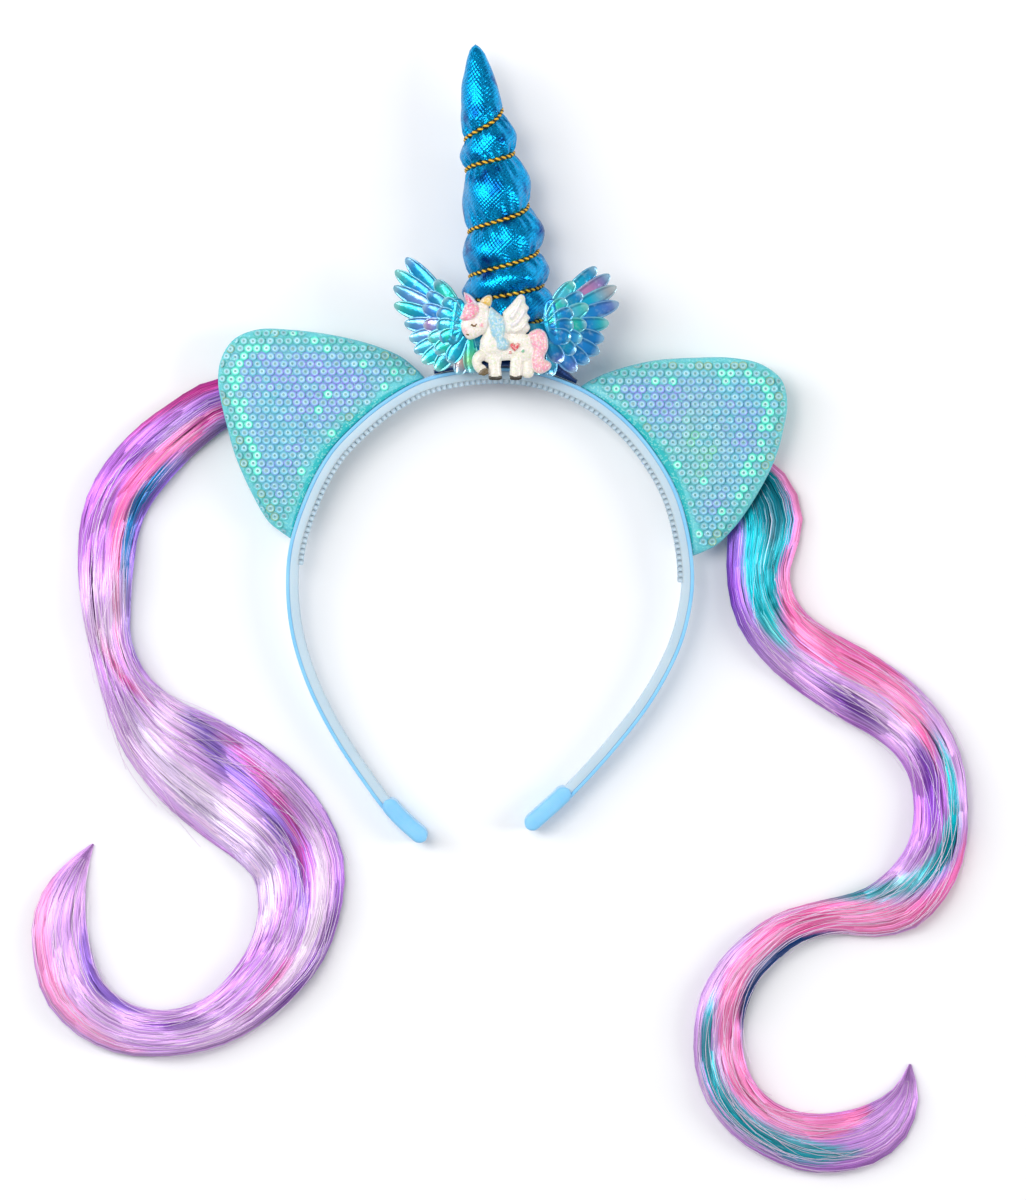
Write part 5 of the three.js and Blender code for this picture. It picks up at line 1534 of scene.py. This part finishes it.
FOIL = foil_cloth()
horn_piece = horn_mesh("horn_foil", FOIL)
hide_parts("horn")
print_piece(horn_piece)

# %% [markdown]
# The cord is two yarns, gold and black, twisted round each other. Each yarn is a thin tube whose
# middle runs round the cord's own line, so the twist is real and shows its dark dashes from any side.

# %% The twisted cord
CORD_RADIUS = 0.64
CORD_SEAT = -0.2
CORD_FROM, CORD_TO = 1.0, 6.8
CORD_STEPS = 1400
YARNS = (("#ffc02e", 0.44), ("#160e02", 0.42))
YARN_PITCH = 2.1
YARN_SIDES = 6
YARN_STEPS = 7


def cord_yarns():
    """Both yarns as thin tubes, twisted round the line of the groove."""
    fine = np.linspace(CORD_FROM, CORD_TO, CORD_STEPS)
    path = horn_place(fine, 0.0, CORD_SEAT + CORD_RADIUS)
    reached = reached_along(path)
    count = int(reached[-1] / YARN_PITCH * YARN_STEPS)
    wanted = np.linspace(0, reached[-1], count)
    line = between_rows(wanted, reached, path)
    turns = np.interp(wanted, reached, fine)
    along = unit(np.gradient(line, axis=0))
    angle = math.pi - turns * math.tau
    outward = np.stack([np.cos(angle), 0 * turns, np.sin(angle)], -1)
    side = unit(np.cross(along, outward))
    outward = np.cross(side, along)
    blocks, shades, faces = [], [], []
    around = full_turn(YARN_SIDES)
    for number, (colour, radius) in enumerate(YARNS):
        twist = wanted / YARN_PITCH * math.tau + number * math.pi
        spoke = np.cos(twist)[:, None] * outward + np.sin(twist)[:, None] * side
        middle = line + spoke * (CORD_RADIUS - radius)
        other = np.cross(along, spoke)
        ring = np.cos(around)[None, :, None] * spoke[:, None] + np.sin(around)[None, :, None] * other[:, None]
        blocks.append((middle[:, None] + ring * radius).reshape(-1, 3))
        shades.append(np.tile(paint(colour), (count * YARN_SIDES, 1)))
        faces.append(grid_faces(count, YARN_SIDES, wrap=True, start=number * count * YARN_SIDES))
    return np.vstack(blocks), np.vstack(faces), np.vstack(shades)


def metallic_yarn():
    """Fine metal thread: its dye with small bright glints."""
    material, tree = plain_material("metallic_yarn", paint("#d9a032"), 0.35)
    flakes = place_group(tree, GLITTER, Flakes_per_mm=5.0, Share_shining=0.3)
    shade = mixed(tree, scaled(tree, flakes["Sparkle"], 0.15), dye_socket(tree), "#ffd860")
    return finished(material, Base_Color=shade, Normal=bump(tree, flakes["Flake"], 0.5, 0.06), Metallic=0.35)


YARN = metallic_yarn()
points, faces, dye = cord_yarns()
cord_piece = new_piece("horn_cord_yarns", in_band_plane(points), faces, YARN, dye)
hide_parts("horn_cord")
print_piece(cord_piece)

# %% [markdown]
# ## The pad under the horn
#
# A small roll of the same foil seats the horn on the band. Its dark blue is painted shade, for the shadow
# under the horn. It follows the band below and is level under the horn.

# %% The pad
PAD_FROM, PAD_TO = 0.4535, 0.5665
PAD_RISE = 2.5
PAD_EDGE = 1.2
PAD_DEPTH = 18.0
PAD_STEPS = 48
PAD_AROUND = 20
# How square the roll's section is, below 1, and how much thinner it is at its ends
PAD_ROUND_UP, PAD_ROUND_OUT = 0.45, 0.7
PAD_THINNING = 0.75


def pad_roll():
    """A roll that follows the band below, is level under the horn and thins out at both ends."""
    shares = np.linspace(PAD_FROM, PAD_TO, PAD_STEPS)
    low, _ = beside_band(shares, np.full(PAD_STEPS, FIT_GAP))
    high, _ = beside_band(shares, np.full(PAD_STEPS, FIT_GAP + PAD_EDGE))
    beside = np.maximum(0, np.abs(high[:, 0] - HORN_OFFSET) - HORN_DIAMETER / 2)
    high[:, 1] = np.maximum(high[:, 1], PAD_RISE - beside)
    middle, half = (low[0, 0] + low[-1, 0]) / 2, (low[-1, 0] - low[0, 0]) / 2
    depth = PAD_DEPTH / 2 * np.sqrt(np.clip(1 - PAD_THINNING * ((low[:, 0] - middle) / half) ** 2, 0.1, 1))
    turn = full_turn(PAD_AROUND)
    up = np.sign(np.sin(turn)) * np.abs(np.sin(turn)) ** PAD_ROUND_UP
    out = np.sign(np.cos(turn)) * np.abs(np.cos(turn)) ** PAD_ROUND_OUT
    flat = (low + high)[:, None] / 2 + (high - low)[:, None] / 2 * out[None, :, None]
    height = depth[:, None] * up[None, :]
    points = np.concatenate([flat, height[..., None]], -1)
    faces = [grid_faces(PAD_STEPS, PAD_AROUND, wrap=True)[:, ::-1]]
    for start, order in ((0, 1), ((PAD_STEPS - 1) * PAD_AROUND, -1)):
        last = start + PAD_AROUND - 1
        caps = [[start + i, start + i + 1, last - 1 - i, last - i] for i in range(PAD_AROUND // 2 - 1)]
        faces.append(np.array(caps)[:, ::order])
    return points.reshape(-1, 3), np.vstack(faces)


def foil_in_painted_shade():
    """The horn's foil cloth in navy, as painted shade under the horn."""
    material, tree = plain_material("foil_in_painted_shade", paint("#0c2b5c"), 0.4)
    weave = place_group(tree, WEAVE, Threads_per_mm=1.5, Slub=0.6)
    shade = mixed(tree, weave["Slub mask"], "#081d45", "#12407e")
    return finished(material, Base_Color=shade, Normal=bump(tree, weave["Height"], 0.6, 0.12), Metallic=0.6)


points, faces = pad_roll()
pad = new_piece("horn_pad_roll", in_band_plane(points), faces, foil_in_painted_shade())
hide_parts("horn_pad")
print_piece(pad)

# %% [markdown]
# ## The wings
#
# The wings are stamped from thick holographic film: three rows of feathers over each other and a
# smooth shoulder. A feather is a small grid that is widest near its tip, with a raised rim and a
# puffed middle, and each one leans over its neighbour. The film's colour changes with the light.
# Here it is laid on feather by feather, from quill to tip, so it is the same in every program.

# %% The film's colours and the rows of feathers
WING_REACH = 29.0
WING_THICK = 1.0
WING_UP = 12.1
WING_ACROSS = {-1: 12.1, 1: 9.6}
WING_DROOP = 4.0
FEATHER_WIDTH = 5.5
FEATHER_STEP = 0.5
FEATHER_LEAN = 0.22
RIM_HEIGHT = 0.26
PUFF_HEIGHT = 0.3
# Width at the quill over the widest, and the share of the feather where it begins to close
QUILL_WIDTH = 0.55
CLOSE_FROM = 0.6
FEATHER_FROM = 0.1
# Painted highlight on the rim and at the tip, and painted shade just inside the rim
RIM_LIGHT, RIM_SHADE, TIP_LIGHT = "#aeeefc", "#065078", "#c9f6ff"

FILM_TINTS = {
    "sea": "#12a4cc", "sky": "#1c8cf2", "ice": "#6ae2ff", "mint": "#34f0bc", "lilac": "#8ea4fa",
    "deep": "#0668c4", "plum": "#8f62cc", "peach": "#ffb890", "pink": "#ff8cc8", "lime": "#a6f070",
    "dusk": "#3f98b4", "cyan": "#10d2f6",
}
# Angle up from the horizontal, reach of the left and right one, layer, then tints from quill to tip
FEATHERS = [
    (48, 1.02, 0.89, 0, "dusk sea sky", "sea cyan deep"),
    (38, 1.01, 0.94, 0, "sea sky mint", "sky pink deep"),
    (29, 0.93, 0.93, 0, "sea lilac sea", "sea cyan peach"),
    (18, 0.85, 0.885, 0, "sky sea mint", "sea sky plum"),
    (5, 0.7, 0.735, 0, "ice lilac sea", "sea sky mint"),
    (-9, 0.655, 0.69, 0, "sea lilac ice", "ice deep sky"),
    (-22, 0.64, 0.68, 0, "lilac ice sea", "deep sky deep"),
    (-35, 0.62, 0.63, 0, "sea cyan mint", "sea deep sky"),
    (-50, 0.57, 0.59, 0, "sea dusk mint", "ice sky plum"),
    (-76, 0.5, 0.515, 0, "sky peach sea", "sea ice deep"),
    (-93, 0.47, 0.49, 0, "mint lime sea", "deep sea ice"),
    (55, 0.64, 0.62, 1, "sea mint dusk", "mint ice mint"),
    (41, 0.6, 0.59, 1, "cyan dusk sky", "ice sea sky"),
    (26, 0.56, 0.57, 1, "ice sky lilac", "sea ice mint"),
    (6, 0.5, 0.5, 1, "sea lilac pink", "sky mint sea"),
    (-14, 0.46, 0.46, 1, "sea ice mint", "sea sky ice"),
    (-34, 0.45, 0.45, 1, "cyan mint sea", "deep sea sky"),
    (-58, 0.42, 0.42, 1, "sea cyan dusk", "sea deep plum"),
    (50, 0.43, 0.42, 2, "cyan sea ice", "sea mint ice"),
    (30, 0.4, 0.4, 2, "sea cyan lilac", "mint sky sea"),
    (8, 0.36, 0.36, 2, "cyan ice sea", "sky deep ice"),
    (-18, 0.34, 0.34, 2, "sea mint sky", "deep sky sea"),
]
SHOULDER_TINTS = {-1: "sea cyan dusk", 1: "deep sea sky"}
HALF_ACROSS = np.array([0.14, 0.42, 0.64, 0.76, 0.86, 0.94, 1])
ACROSS_SHARES = np.concatenate([-HALF_ACROSS[::-1], HALF_ACROSS])
FEATHER_STEPS = 20
TINT_MARKS = (0.25, 0.65, 1.0)


def tinted(tints, share):
    """A colour between three tints, each with a little sea blue in it, by the share from quill to tip."""
    stops = [0.7 * paint(FILM_TINTS[tint]) + 0.3 * paint(FILM_TINTS["sea"]) for tint in tints.split()]
    return between_rows(share, TINT_MARKS, stops)


def rimmed(colour, side):
    """The colour with a painted highlight on the raised rim and a painted shade line inside it."""
    bright = hump(np.abs(side), 0.87, 0.07)[..., None]
    dark = hump(np.abs(side), 0.68, 0.09)[..., None]
    colour = colour + 0.55 * bright * (paint(RIM_LIGHT) - colour)
    return colour + 0.6 * dark * (paint(RIM_SHADE) - colour)


def feather(reach, layer, tints):
    """Top, bottom and colours of one feather that points along +X."""
    share = (1 - np.cos(np.linspace(0, math.pi, FEATHER_STEPS))) / 2
    grow = QUILL_WIDTH + (1 - QUILL_WIDTH) * smooth_step(0.0, CLOSE_FROM, share)
    close = np.sqrt(np.clip(1 - np.clip((share - CLOSE_FROM) / (1 - CLOSE_FROM), 0, 1) ** 2.2, 0, 1))
    half = FEATHER_WIDTH / 2 * grow * np.maximum(close, 0.02)
    start = FEATHER_FROM * WING_REACH
    x = (start + (reach - start) * share)[:, None] * np.ones_like(ACROSS_SHARES)
    side = np.ones((FEATHER_STEPS, 1)) * ACROSS_SHARES
    y = side * half[:, None]
    near_tip = smooth_step(0.86, 0.97, share)[:, None]
    rim = RIM_HEIGHT * hump(np.abs(side), 0.86, 0.1) * (1 - near_tip) + RIM_HEIGHT * near_tip
    puff = PUFF_HEIGHT * np.clip(1 - (side / 0.72) ** 2, 0, 1) * close[:, None]
    level = WING_THICK + layer * FEATHER_STEP
    top = level + rim + puff + FEATHER_LEAN * side - 0.25 * (np.abs(side) == 1)
    colour = rimmed(tinted(tints, share[:, None] * np.ones_like(side)), side)
    # The tip gets a painted highlight where its rim rises
    colour = colour + 0.5 * near_tip[..., None] * (paint(TIP_LIGHT) - colour)
    return np.stack([x, y, top], -1), np.stack([x, y, 0 * top], -1), colour


def shoulder(tints):
    """The smooth pad over the quills: an ellipse that swells towards its middle."""
    radius = np.linspace(0, 1, 12)[:, None]
    turn = np.linspace(0, math.tau, 41)[None, :]
    x = radius * 0.115 * WING_REACH * np.cos(turn)
    y = radius * 0.25 * WING_REACH * np.sin(turn)
    lean = 0.15
    level = WING_THICK + 2.2 * FEATHER_STEP
    ripple = 0.1 * np.sin(x * 2.2) * (1 - radius**4)
    top = level + 0.2 * np.sqrt(np.clip(1 - radius**2.4, 0, 1)) + ripple + 0 * turn
    flat_x = 0.15 * WING_REACH + x * math.cos(lean) - y * math.sin(lean)
    flat_y = 0.08 * WING_REACH + x * math.sin(lean) + y * math.cos(lean)
    colour = tinted(tints, 0.62 - y / (0.6 * WING_REACH) * 0.9)
    return np.stack([flat_x, flat_y, top], -1), np.stack([flat_x, flat_y, 0 * top], -1), colour


def face_outward(piece):
    """Turn every face of closed bodies so that it points out."""
    form = bmesh.new()
    form.from_mesh(piece.data)
    bmesh.ops.remove_doubles(form, verts=form.verts, dist=1e-7)
    bmesh.ops.recalc_face_normals(form, faces=form.faces)
    form.to_mesh(piece.data)
    form.free()


def holographic_film():
    """Embossed film: bright, glossy and partly metallic, with a fine crinkle."""
    material, tree = plain_material("holographic_film", paint("#2fb8d0"), 0.2)
    crinkle = mottle(tree, 1.6)
    glint = scaled(tree, smooth_mask(tree, crinkle, 0.5, 0.75), 0.22)
    return finished(
        material,
        Base_Color=mixed(tree, glint, dye_socket(tree), "#d2f4ff"),
        Normal=bump(tree, crinkle, 0.4, 0.25),
        Metallic=0.6,
        Coat_Weight=0.25,
    )


# %% Both wings
# Faces of the tab that joins the feathers to the horn
TAB_FACES = np.array([[0, 1, 3, 2], [4, 6, 7, 5], [0, 2, 6, 4], [1, 5, 7, 3], [0, 4, 5, 1], [2, 3, 7, 6]])
HOLO = holographic_film()
for side, node in ((-1, "wing_left"), (1, "wing_right")):
    blocks, shades, faces, forms, start = [], [], [], [], 0
    for angle, left, right, layer, tints_left, tints_right in FEATHERS:
        reach, tints = (left, tints_left) if side < 0 else (right, tints_right)
        forms.append((math.radians(angle), feather(reach * WING_REACH, layer, tints)))
    forms.append((0.0, shoulder(SHOULDER_TINTS[side])))
    for angle, (top, bottom, colour) in forms:
        points, form_faces = closed_sheet(top, bottom)
        x = points[:, 0] * math.cos(angle) - points[:, 1] * math.sin(angle)
        y = points[:, 0] * math.sin(angle) + points[:, 1] * math.cos(angle)
        z = points[:, 2] - WING_DROOP * (np.maximum(0, x) / WING_REACH) ** 2
        blocks.append(np.stack([side * x, y, z], -1))
        shades.append(np.concatenate([colour.reshape(-1, 3)] * 2))
        faces.append(form_faces + start)
        start += len(points)
    inner, outer = FIT_GAP - WING_ACROSS[side], 0.15 * WING_REACH
    low, high = -0.2 * WING_REACH, 0.06 * WING_REACH
    blocks.append([(side * x, y, z) for z in (0.0, WING_THICK) for x in (inner, outer) for y in (low, high)])
    shades.append(np.tile(paint(FILM_TINTS["sea"]), (8, 1)))
    faces.append(start + TAB_FACES)
    place = np.array([HORN_OFFSET + side * WING_ACROSS[side], WING_UP, HORN_DIAMETER / 2 + FIT_GAP])
    points = in_band_plane(np.vstack(blocks) + place)
    dye = np.vstack(shades)
    film_wing = new_piece(f"{node}_film", points, np.vstack(faces), HOLO, dye)
    face_outward(film_wing)
    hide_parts(node)
    print_piece(film_wing)

# %% [markdown]
# ## The charm
#
# The charm is a small cast of glitter resin: a winged pony in low relief, with each colour a puffed
# form of its own. A relief is worked out on a fine grid. Every form has an outline, and its height
# follows the distance to that outline, so it swells softly. Where forms overlap, the highest wins.
# Its face is a plain one: a closed eye, a blush and a small smile.

# %% The forms of the charm
CHARM_WIDTH = 28.6
CHARM_THICK = 3.2
CHARM_ACROSS, CHARM_UP = 5.0, 10.2
CHARM_BACK = HORN_DIAMETER / 2 + WING_THICK + 2 * FEATHER_STEP + 2 * FIT_GAP
CHARM_GRID = 0.2
CHARM_WALL = 0.55
DETAIL_WALL = 0.96
OUTLINE_STEPS = 10
FAR_OUTSIDE = -99.0
# Forms are paler along their edge, up to this far inside
PALE_EDGE = "#f8f6f2"
PALE_FROM, PALE_TO = 0.05, 0.55

# Name, colour, height over the thickness, rounding in millimetres, outline over the width
CHARM_FORMS = [
    ("hind leg", "#f3ece0", 0.85, 1.6,
     [(0.19, -0.2), (0.3, -0.18), (0.31, -0.3), (0.285, -0.44), (0.19, -0.45), (0.175, -0.33)]),
    ("body", "#f6efe6", 1, 2.6,
     [(-0.28, -0.05), (-0.21, 0.05), (-0.1, 0.02), (0, 0.02), (0.17, 0.03), (0.26, 0), (0.31, -0.1),
      (0.3, -0.22), (0.24, -0.285), (0.06, -0.265), (-0.05, -0.27), (-0.16, -0.3), (-0.25, -0.26),
      (-0.29, -0.16)]),
    ("thigh", "#f3ece0", 1.05, 1.6,
     [(0.05, -0.22), (0.17, -0.2), (0.175, -0.33), (0.158, -0.45), (0.05, -0.45), (0.04, -0.33)]),
    ("front leg", "#f6efe6", 1.1, 1.8,
     [(-0.2, -0.2), (-0.05, -0.2), (-0.055, -0.33), (-0.055, -0.45), (-0.18, -0.45), (-0.19, -0.33)]),
    ("neck", "#f6efe6", 1.15, 2.4,
     [(-0.24, 0.02), (-0.17, 0.2), (-0.05, 0.16), (0.02, 0), (0.03, -0.14), (-0.1, -0.22),
      (-0.24, -0.2), (-0.28, -0.08)]),
    ("raised leg", "#f3ebdc", 1.2, 1.8,
     [(-0.27, -0.15), (-0.34, -0.19), (-0.37, -0.26), (-0.35, -0.35), (-0.29, -0.41), (-0.22, -0.4),
      (-0.215, -0.335), (-0.265, -0.29), (-0.22, -0.25), (-0.2, -0.19)]),
    ("tail", "#ff9fbd", 1.25, 2,
     [(0.24, 0.02), (0.29, 0.06), (0.36, 0.075), (0.42, 0.04), (0.45, -0.04), (0.45, -0.14),
      (0.415, -0.24), (0.48, -0.29), (0.485, -0.34), (0.43, -0.39), (0.35, -0.41), (0.29, -0.365),
      (0.27, -0.24), (0.285, -0.14), (0.25, -0.07)]),
    ("wing", "#f7f1ea", 1.3, 1.6,
     [(-0.04, 0.24), (0.05, 0.34), (0.155, 0.447), (0.2, 0.42), (0.21, 0.35), (0.245, 0.3),
      (0.225, 0.245), (0.258, 0.195), (0.235, 0.145), (0.26, 0.09), (0.225, 0.035), (0.17, 0.024),
      (0.07, 0.024), (0, 0.03), (-0.02, 0.136)]),
    ("high feather", "#f4ecf2", 1.5, 0.8,
     [(0.02, 0.2), (0.09, 0.3), (0.15, 0.41), (0.18, 0.39), (0.14, 0.27), (0.06, 0.16)]),
    ("middle feather", "#efe9f4", 1.5, 0.8,
     [(0.03, 0.12), (0.11, 0.19), (0.195, 0.3), (0.215, 0.26), (0.15, 0.14), (0.06, 0.08)]),
    ("low feather", "#f4ecea", 1.5, 0.8,
     [(0.06, 0.05), (0.13, 0.095), (0.22, 0.17), (0.232, 0.125), (0.16, 0.045), (0.08, 0.03)]),
    ("far ear", "#e6d3ee", 1.12, 0.9,
     [(-0.44, 0.46), (-0.385, 0.44), (-0.31, 0.36), (-0.26, 0.31), (-0.36, 0.32)]),
    ("ear", "#f0459a", 1.2, 0.9,
     [(-0.458, 0.47), (-0.415, 0.45), (-0.35, 0.38), (-0.33, 0.34), (-0.4, 0.33), (-0.45, 0.4)]),
    ("head", "#f8ece6", 1.35, 2.4,
     [(-0.49, 0.13), (-0.48, 0.06), (-0.45, 0), (-0.41, -0.04), (-0.35, -0.035), (-0.28, 0),
      (-0.21, 0.05), (-0.17, 0.19), (-0.19, 0.31), (-0.28, 0.36), (-0.38, 0.33), (-0.45, 0.24)]),
    ("horn", "#f0bd2c", 1.42, 1.1,
     [(-0.285, 0.36), (-0.24, 0.416), (-0.2, 0.438), (-0.16, 0.433), (-0.15, 0.38), (-0.17, 0.317),
      (-0.215, 0.322)]),
    ("forelock", "#ff82b2", 1.6, 1.7,
     [(-0.45, 0.33), (-0.37, 0.36), (-0.29, 0.33), (-0.275, 0.27), (-0.31, 0.205), (-0.36, 0.165),
      (-0.45, 0.155), (-0.5, 0.185), (-0.48, 0.24)]),
    ("mane", "#8fd0ea", 1.5, 1.8,
     [(-0.17, 0.31), (-0.1, 0.26), (-0.025, 0.19), (0, 0.07), (-0.01, -0.01), (0.035, -0.06),
      (0.03, -0.14), (-0.03, -0.165), (-0.1, -0.14), (-0.12, -0.05), (-0.16, 0), (-0.185, 0.1),
      (-0.2, 0.205)]),
    ("heart", "#e0263e", 1.2, 0.6,
     [(0.096, -0.165), (0.048, -0.118), (0.05, -0.086), (0.077, -0.078), (0.097, -0.097), (0.118, -0.078),
      (0.144, -0.088), (0.143, -0.12)]),
    ("red dot", "#e2405a", 1.2, 0.5,
     [(0.061, -0.18), (0.053, -0.166), (0.037, -0.166), (0.029, -0.18), (0.037, -0.194), (0.053, -0.194)]),
    ("green dot", "#4fbf8c", 1.2, 0.5,
     [(0.2, -0.164), (0.191, -0.149), (0.173, -0.149), (0.164, -0.164), (0.173, -0.179), (0.191, -0.179)]),
    ("front hoof", "#241a06", 1.24, 0.6,
     [(-0.19, -0.432), (-0.12, -0.442), (-0.045, -0.432), (-0.05, -0.468), (-0.12, -0.476),
      (-0.185, -0.468)]),
    ("hind hoof", "#241a06", 1.2, 0.6,
     [(0.035, -0.428), (0.1, -0.438), (0.17, -0.428), (0.165, -0.466), (0.1, -0.476), (0.04, -0.466)]),
    ("raised hoof", "#5a4414", 1.34, 0.6,
     [(-0.3, -0.415), (-0.26, -0.36), (-0.2, -0.35), (-0.19, -0.4), (-0.24, -0.43)]),
]
# Small forms that stand on others and have no pale edge
CHARM_DETAILS = ("heart", "red dot", "green dot", "front hoof", "hind hoof", "raised hoof")
# Soft spots of colour on the head: centre and radius over the width
CHARM_BLUSHES = [((-0.265, 0.114), 0.034, "#ff86a6"), ((-0.445, 0.045), 0.05, "#ffb1bd")]


def closed_curve(places):
    """A smooth closed outline through the places."""
    around = np.array([*places[-2:], *places, *places[:3]])
    curve = curve_through(np.column_stack([around, np.zeros(len(around))]), OUTLINE_STEPS)
    return curve[2 * OUTLINE_STEPS:-3 * OUTLINE_STEPS, :2]


def charm_relief():
    """The charm's front as a grid of heights and colours, with its cells."""
    reach = 0.54 * CHARM_WIDTH
    axis = np.arange(-reach, reach, CHARM_GRID)
    count = len(axis)
    x, y = np.meshgrid(axis, axis)
    flat = np.stack([x, y], -1).reshape(-1, 2)
    level = np.zeros(len(flat))
    nearest = np.full(len(flat), FAR_OUTSIDE)
    colour = np.ones((len(flat), 3))
    for name, shade, height, rounding, outline in CHARM_FORMS:
        inside = distance_to(closed_curve(outline) * CHARM_WIDTH, flat)
        swell = np.sqrt(np.clip(1 - (1 - np.clip(inside / rounding, 0, 1)) ** 2, 0, 1))
        wall = DETAIL_WALL if name in CHARM_DETAILS else CHARM_WALL
        own = height * CHARM_THICK * (wall + (1 - wall) * swell)
        wins = np.where(inside > 0, own > level, (nearest < 0) & (inside > nearest))
        pale = 0.0 if name in CHARM_DETAILS else 0.75
        pale = pale * (1 - smooth_step(PALE_FROM, PALE_TO, inside))
        own_colour = paint(shade) + pale[:, None] * (paint(PALE_EDGE) - paint(shade))
        level = np.where(wins, own, level)
        colour = np.where(wins[:, None], own_colour, colour)
        nearest = np.maximum(nearest, inside)
    for centre, radius, shade in CHARM_BLUSHES:
        gap = np.linalg.norm(flat / CHARM_WIDTH - centre, axis=1) / radius
        colour += (0.85 * (1 - smooth_step(0.35, 1.0, gap)))[:, None] * (paint(shade) - colour)
    field = nearest.reshape(count, count)
    slope_y, slope_x = np.gradient(field, CHARM_GRID)
    slope = unit(np.stack([slope_x, slope_y], -1).reshape(-1, 2))
    outside = (nearest < 0)[:, None]
    flat = np.where(outside, flat - nearest[:, None] * slope, flat)
    cells = grid_faces(count, count)
    cells = cells[(nearest[cells] > -0.6 * CHARM_GRID).all(1)]
    return flat, level, colour, cells


def walled(flat, level, colour, cells, back):
    """A closed body from the cells of a relief, its flat back and the walls round it."""
    edges = np.concatenate([cells[:, [i, (i + 1) % 4]] for i in range(4)])
    known = set(map(tuple, edges.tolist()))
    rim = np.array([edge for edge in edges.tolist() if (edge[1], edge[0]) not in known])
    count = len(flat)
    walls = np.stack([rim[:, 1], rim[:, 0], rim[:, 0] + count, rim[:, 1] + count], -1)
    top = np.column_stack([flat, back + level])
    bottom = np.column_stack([flat, np.full(count, back)])
    faces = np.vstack([cells, cells[:, ::-1] + count, walls])
    used, renumbered = np.unique(faces, return_inverse=True)
    points = np.vstack([top, bottom])[used]
    dyes = np.concatenate([colour, np.tile(paint("#efe9e2"), (count, 1))])[used]
    return points, renumbered.reshape(faces.shape), dyes


def glitter_resin():
    """Clear resin full of pale flakes over its colour."""
    material, tree = plain_material("glitter_resin", paint("#f4eee6"), 0.32)
    flakes = place_group(tree, GLITTER, Flakes_per_mm=2.2, Share_shining=0.3)
    dye = dye_socket(tree)
    # The flakes tint a dark colour less than a pale one
    strongest = add_node(tree, "ShaderNodeSeparateColor", {"Color": dye}, mode="HSV").outputs[2]
    tint = mixed(tree, 0.6, flakes["Tint"], "#e8d2b4")
    shade = mixed(tree, scaled(tree, scaled(tree, flakes["Flake"], 0.62), strongest), dye, tint)
    shining = scaled(tree, scaled(tree, flakes["Sparkle"], 0.4), strongest)
    return finished(
        material,
        Base_Color=mixed(tree, shining, shade, "#ffffff"),
        Normal=bump(tree, flakes["Flake"], 0.6, 0.12),
        Coat_Weight=0.5,
        Coat_Roughness=0.1,
    )


flat, level, colour, cells = charm_relief()
points, faces, dyes = walled(flat + (CHARM_ACROSS, CHARM_UP), level, colour, cells, CHARM_BACK)
RESIN = glitter_resin()
charm_piece = new_piece("charm_resin", in_band_plane(points), faces, RESIN, dyes)
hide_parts("charm")
print_piece(charm_piece)

# %% The charm's face
FACE_LEVEL = CHARM_BACK + 1.35 * CHARM_THICK
# Strokes on the head over the width: a closed eye with lashes, and a smile
FACE_STROKES = [
    [(-0.372, 0.128), (-0.36, 0.114), (-0.345, 0.109), (-0.33, 0.114), (-0.318, 0.13)],
    [(-0.368, 0.123), (-0.378, 0.112)],
    [(-0.352, 0.11), (-0.356, 0.096)],
    [(-0.336, 0.111), (-0.333, 0.097)],
    [(-0.428, 0.022), (-0.415, 0.012), (-0.4, 0.014)],
]
STROKE_RADIUS = 0.2
STROKE_SIDES = 8
STROKE_STEPS = 5
STROKE_LIFT = 0.02


def rod(places, radius, sides):
    """A thin round rod along the places, closed at both ends."""
    places = np.asarray(places, float)
    along = unit(np.gradient(places, axis=0))
    side = unit(np.cross(along, [0, 0, 1.0]))
    up = np.cross(side, along)
    turn = full_turn(sides)[None, :, None]
    ring = np.cos(turn) * side[:, None] + np.sin(turn) * up[:, None]
    points = (places[:, None] + radius * ring).reshape(-1, 3)
    points = np.vstack([points, places[:1], places[-1:]])
    last = len(places) * sides
    faces = [grid_faces(len(places), sides, wrap=True)]
    here = np.arange(sides)
    ahead = (here + 1) % sides
    middle = np.full(sides, last)
    faces.append(np.stack([ahead, here, middle, middle], -1))
    far = (len(places) - 1) * sides
    faces.append(np.stack([far + here, far + ahead, middle + 1, middle + 1], -1))
    return points, np.vstack(faces)


def face_ink():
    """Brown enamel with a trace of gold."""
    material, tree = plain_material("face_enamel", paint("#5a3c16"), 0.35)
    return finished(material, Base_Color=mixed(tree, mottle(tree, 0.7), "#3a240c", "#9a6f2a"), Metallic=0.3)


blocks, faces, start = [], [], 0
for stroke in FACE_STROKES:
    line = np.array([(x, y, 0) for x, y in stroke])
    if len(stroke) > 2:
        line = curve_through(line, STROKE_STEPS)
    line = line * CHARM_WIDTH + (CHARM_ACROSS, CHARM_UP, FACE_LEVEL + STROKE_LIFT)
    points, stroke_faces = rod(line, STROKE_RADIUS, STROKE_SIDES)
    blocks.append(points)
    faces.append(stroke_faces + start)
    start += len(points)
points = in_band_plane(np.vstack(blocks))
face = new_piece("charm_face_strokes", points, np.vstack(faces), face_ink())
print_piece(face)

# %% [markdown]
# ## Clasps
#
# Each lock ends in a small moulded clip behind an ear. The frame's own solids have the right form,
# so they stay and only get their plastic.

# %% The clasps
def clasp_plastic():
    """Plain lilac plastic with faint moulding marks."""
    material, tree = plain_material("clasp_plastic", paint("#b79fd8"), 0.4)
    mask = mottle(tree, 1.5)
    shade = mixed(tree, mask, "#ab92d0", "#c6b2e2")
    return finished(material, Base_Color=shade, Normal=bump(tree, mask, 0.2, 0.05))


CLASP = clasp_plastic()
for node in ("hair_clasp_left", "hair_clasp_right"):
    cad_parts[node].data.materials.clear()
    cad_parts[node].data.materials.append(CLASP)
